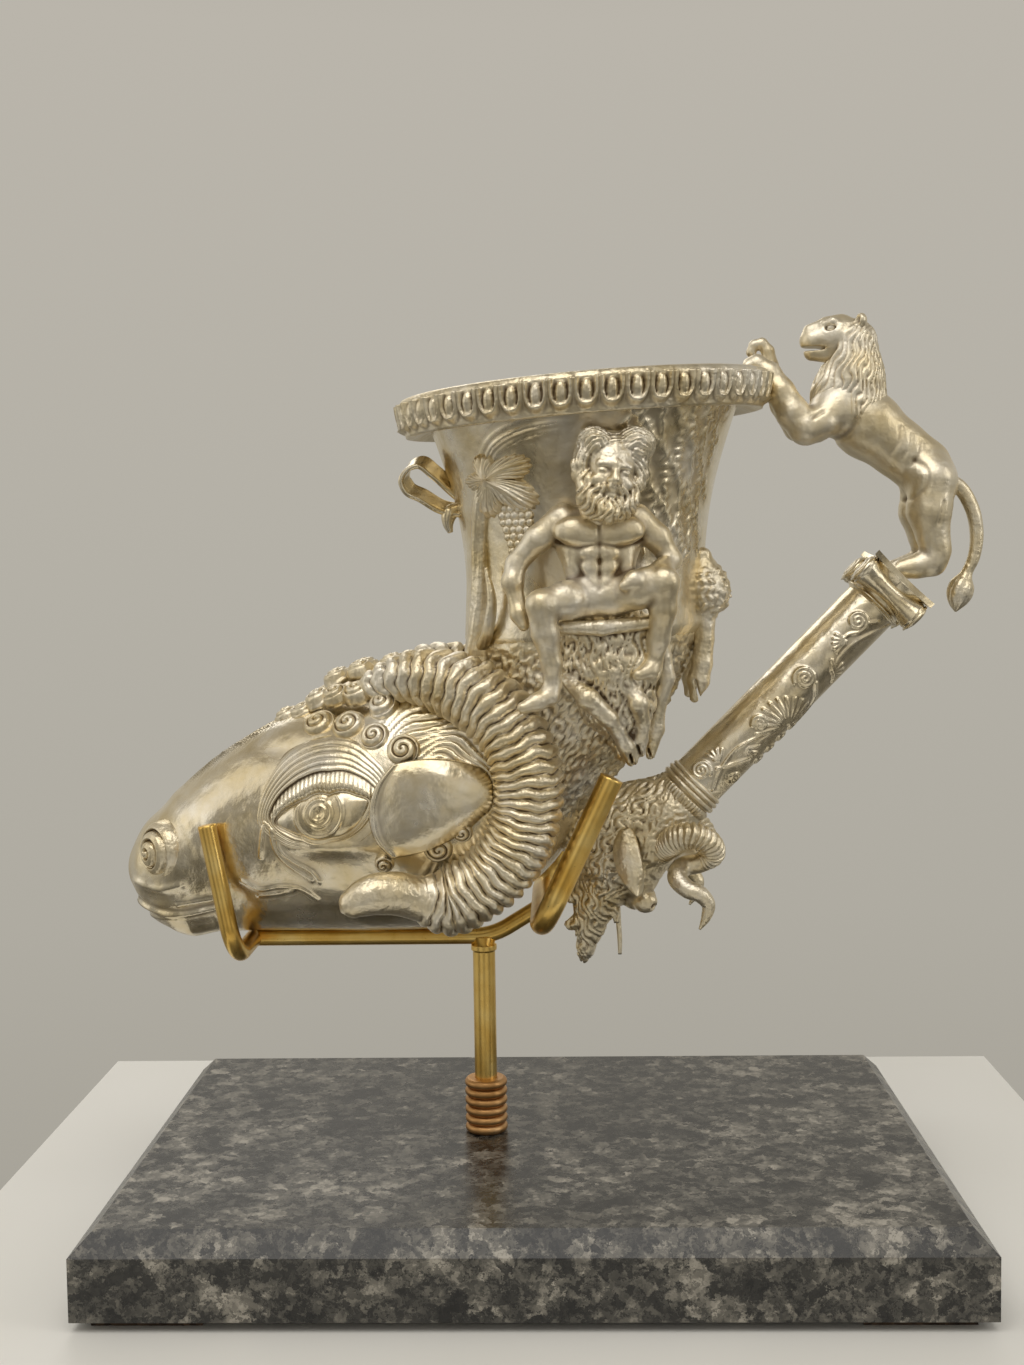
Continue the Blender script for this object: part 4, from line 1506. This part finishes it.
# ears: leaves rolled lengthwise and folded at the tip
reach = np.linspace(0, 1, 60)[:, None]
curl = np.linspace(-1, 1, 40)[None, :]
spine = flow([(-15.4, -8.6, -6.6), (-15.0, -11.6, -12.0), (-13.6, -13.0, -18.0), (-11.6, -13.4, -23.0)], 60)
wide = 3.4 * np.sin(np.pi * np.clip(reach * 0.86 + 0.12, 0, 1)) ** 0.7 + 0.15
arch = 1.7 * (1 - curl**2) * (1 - 0.4 * reach) - 1.5 * fade(reach - 0.72, 0.28) * curl
broad, square = np.array([0.96, -0.1, 0.26]), np.array([-0.15, -0.98, -0.1])
outer = spine[:, None] + (curl * wide)[..., None] * broad + arch[..., None] * square
inner = outer - 1.1 * square
shell = closed(np.concatenate([outer, inner[:, ::-1]], 1) + column_foot)
silver_pair("goat_ear_leaf", shell, "goat_ear", blur=0.6)

# horns: a ridged turn and a half, smooth towards the tip
horn = [
    (-6.0, -4.0, -14.0, 3.2), (-3.6, -8.0, -11.0, 3.4), (-1.2, -12.0, -8.6, 3.4),
    (2.2, -14.0, -7.8, 3.3), (6.0, -13.6, -9.4, 3.1), (7.6, -11.0, -12.8, 2.9),
    (4.4, -9.0, -15.6, 2.7), (0.0, -9.6, -16.6, 2.6), (-1.8, -12.6, -18.8, 2.6),
    (0.6, -15.0, -21.4, 2.4), (4.0, -15.8, -22.8, 2.2), (5.9, -15.8, -25.4, 1.8),
    (5.3, -15.8, -28.6, 1.3), (3.6, -15.8, -31.8, 0.3),
]
horn = flow(horn, 360)
length = np.linspace(0, 1, 360)[:, None]
turn = full_turn(48)[None, :]
ring = np.abs(np.sin(np.pi * (length * 46 + 0.25 * np.sin(2 * turn))))
radius = horn[:, 3:4] + fade(0.5 - length, 0.04) * (0.75 * ring**0.7 - 0.4)
shell = closed(carried(horn[:, :3] + column_foot, radius, 48, (0.12, 0.95, 0.3)))
silver_pair("goat_horn_ringed", shell, "goat_horn", blur=0.6)

# pin: a short wire under the muzzle, the spout's stopper
wire = [
    (-17.0, 0.0, -27.0, 0.8), (-16.7, 0.0, -33.0, 0.7), (-16.4, 0.0, -38.0, 0.65),
    (-16.4, 0.0, -41.8, 0.5),
]
silver_piece("spout_pin", drawn(wire, 40, 20, column_foot), "terminal_pin", blur=0.6)
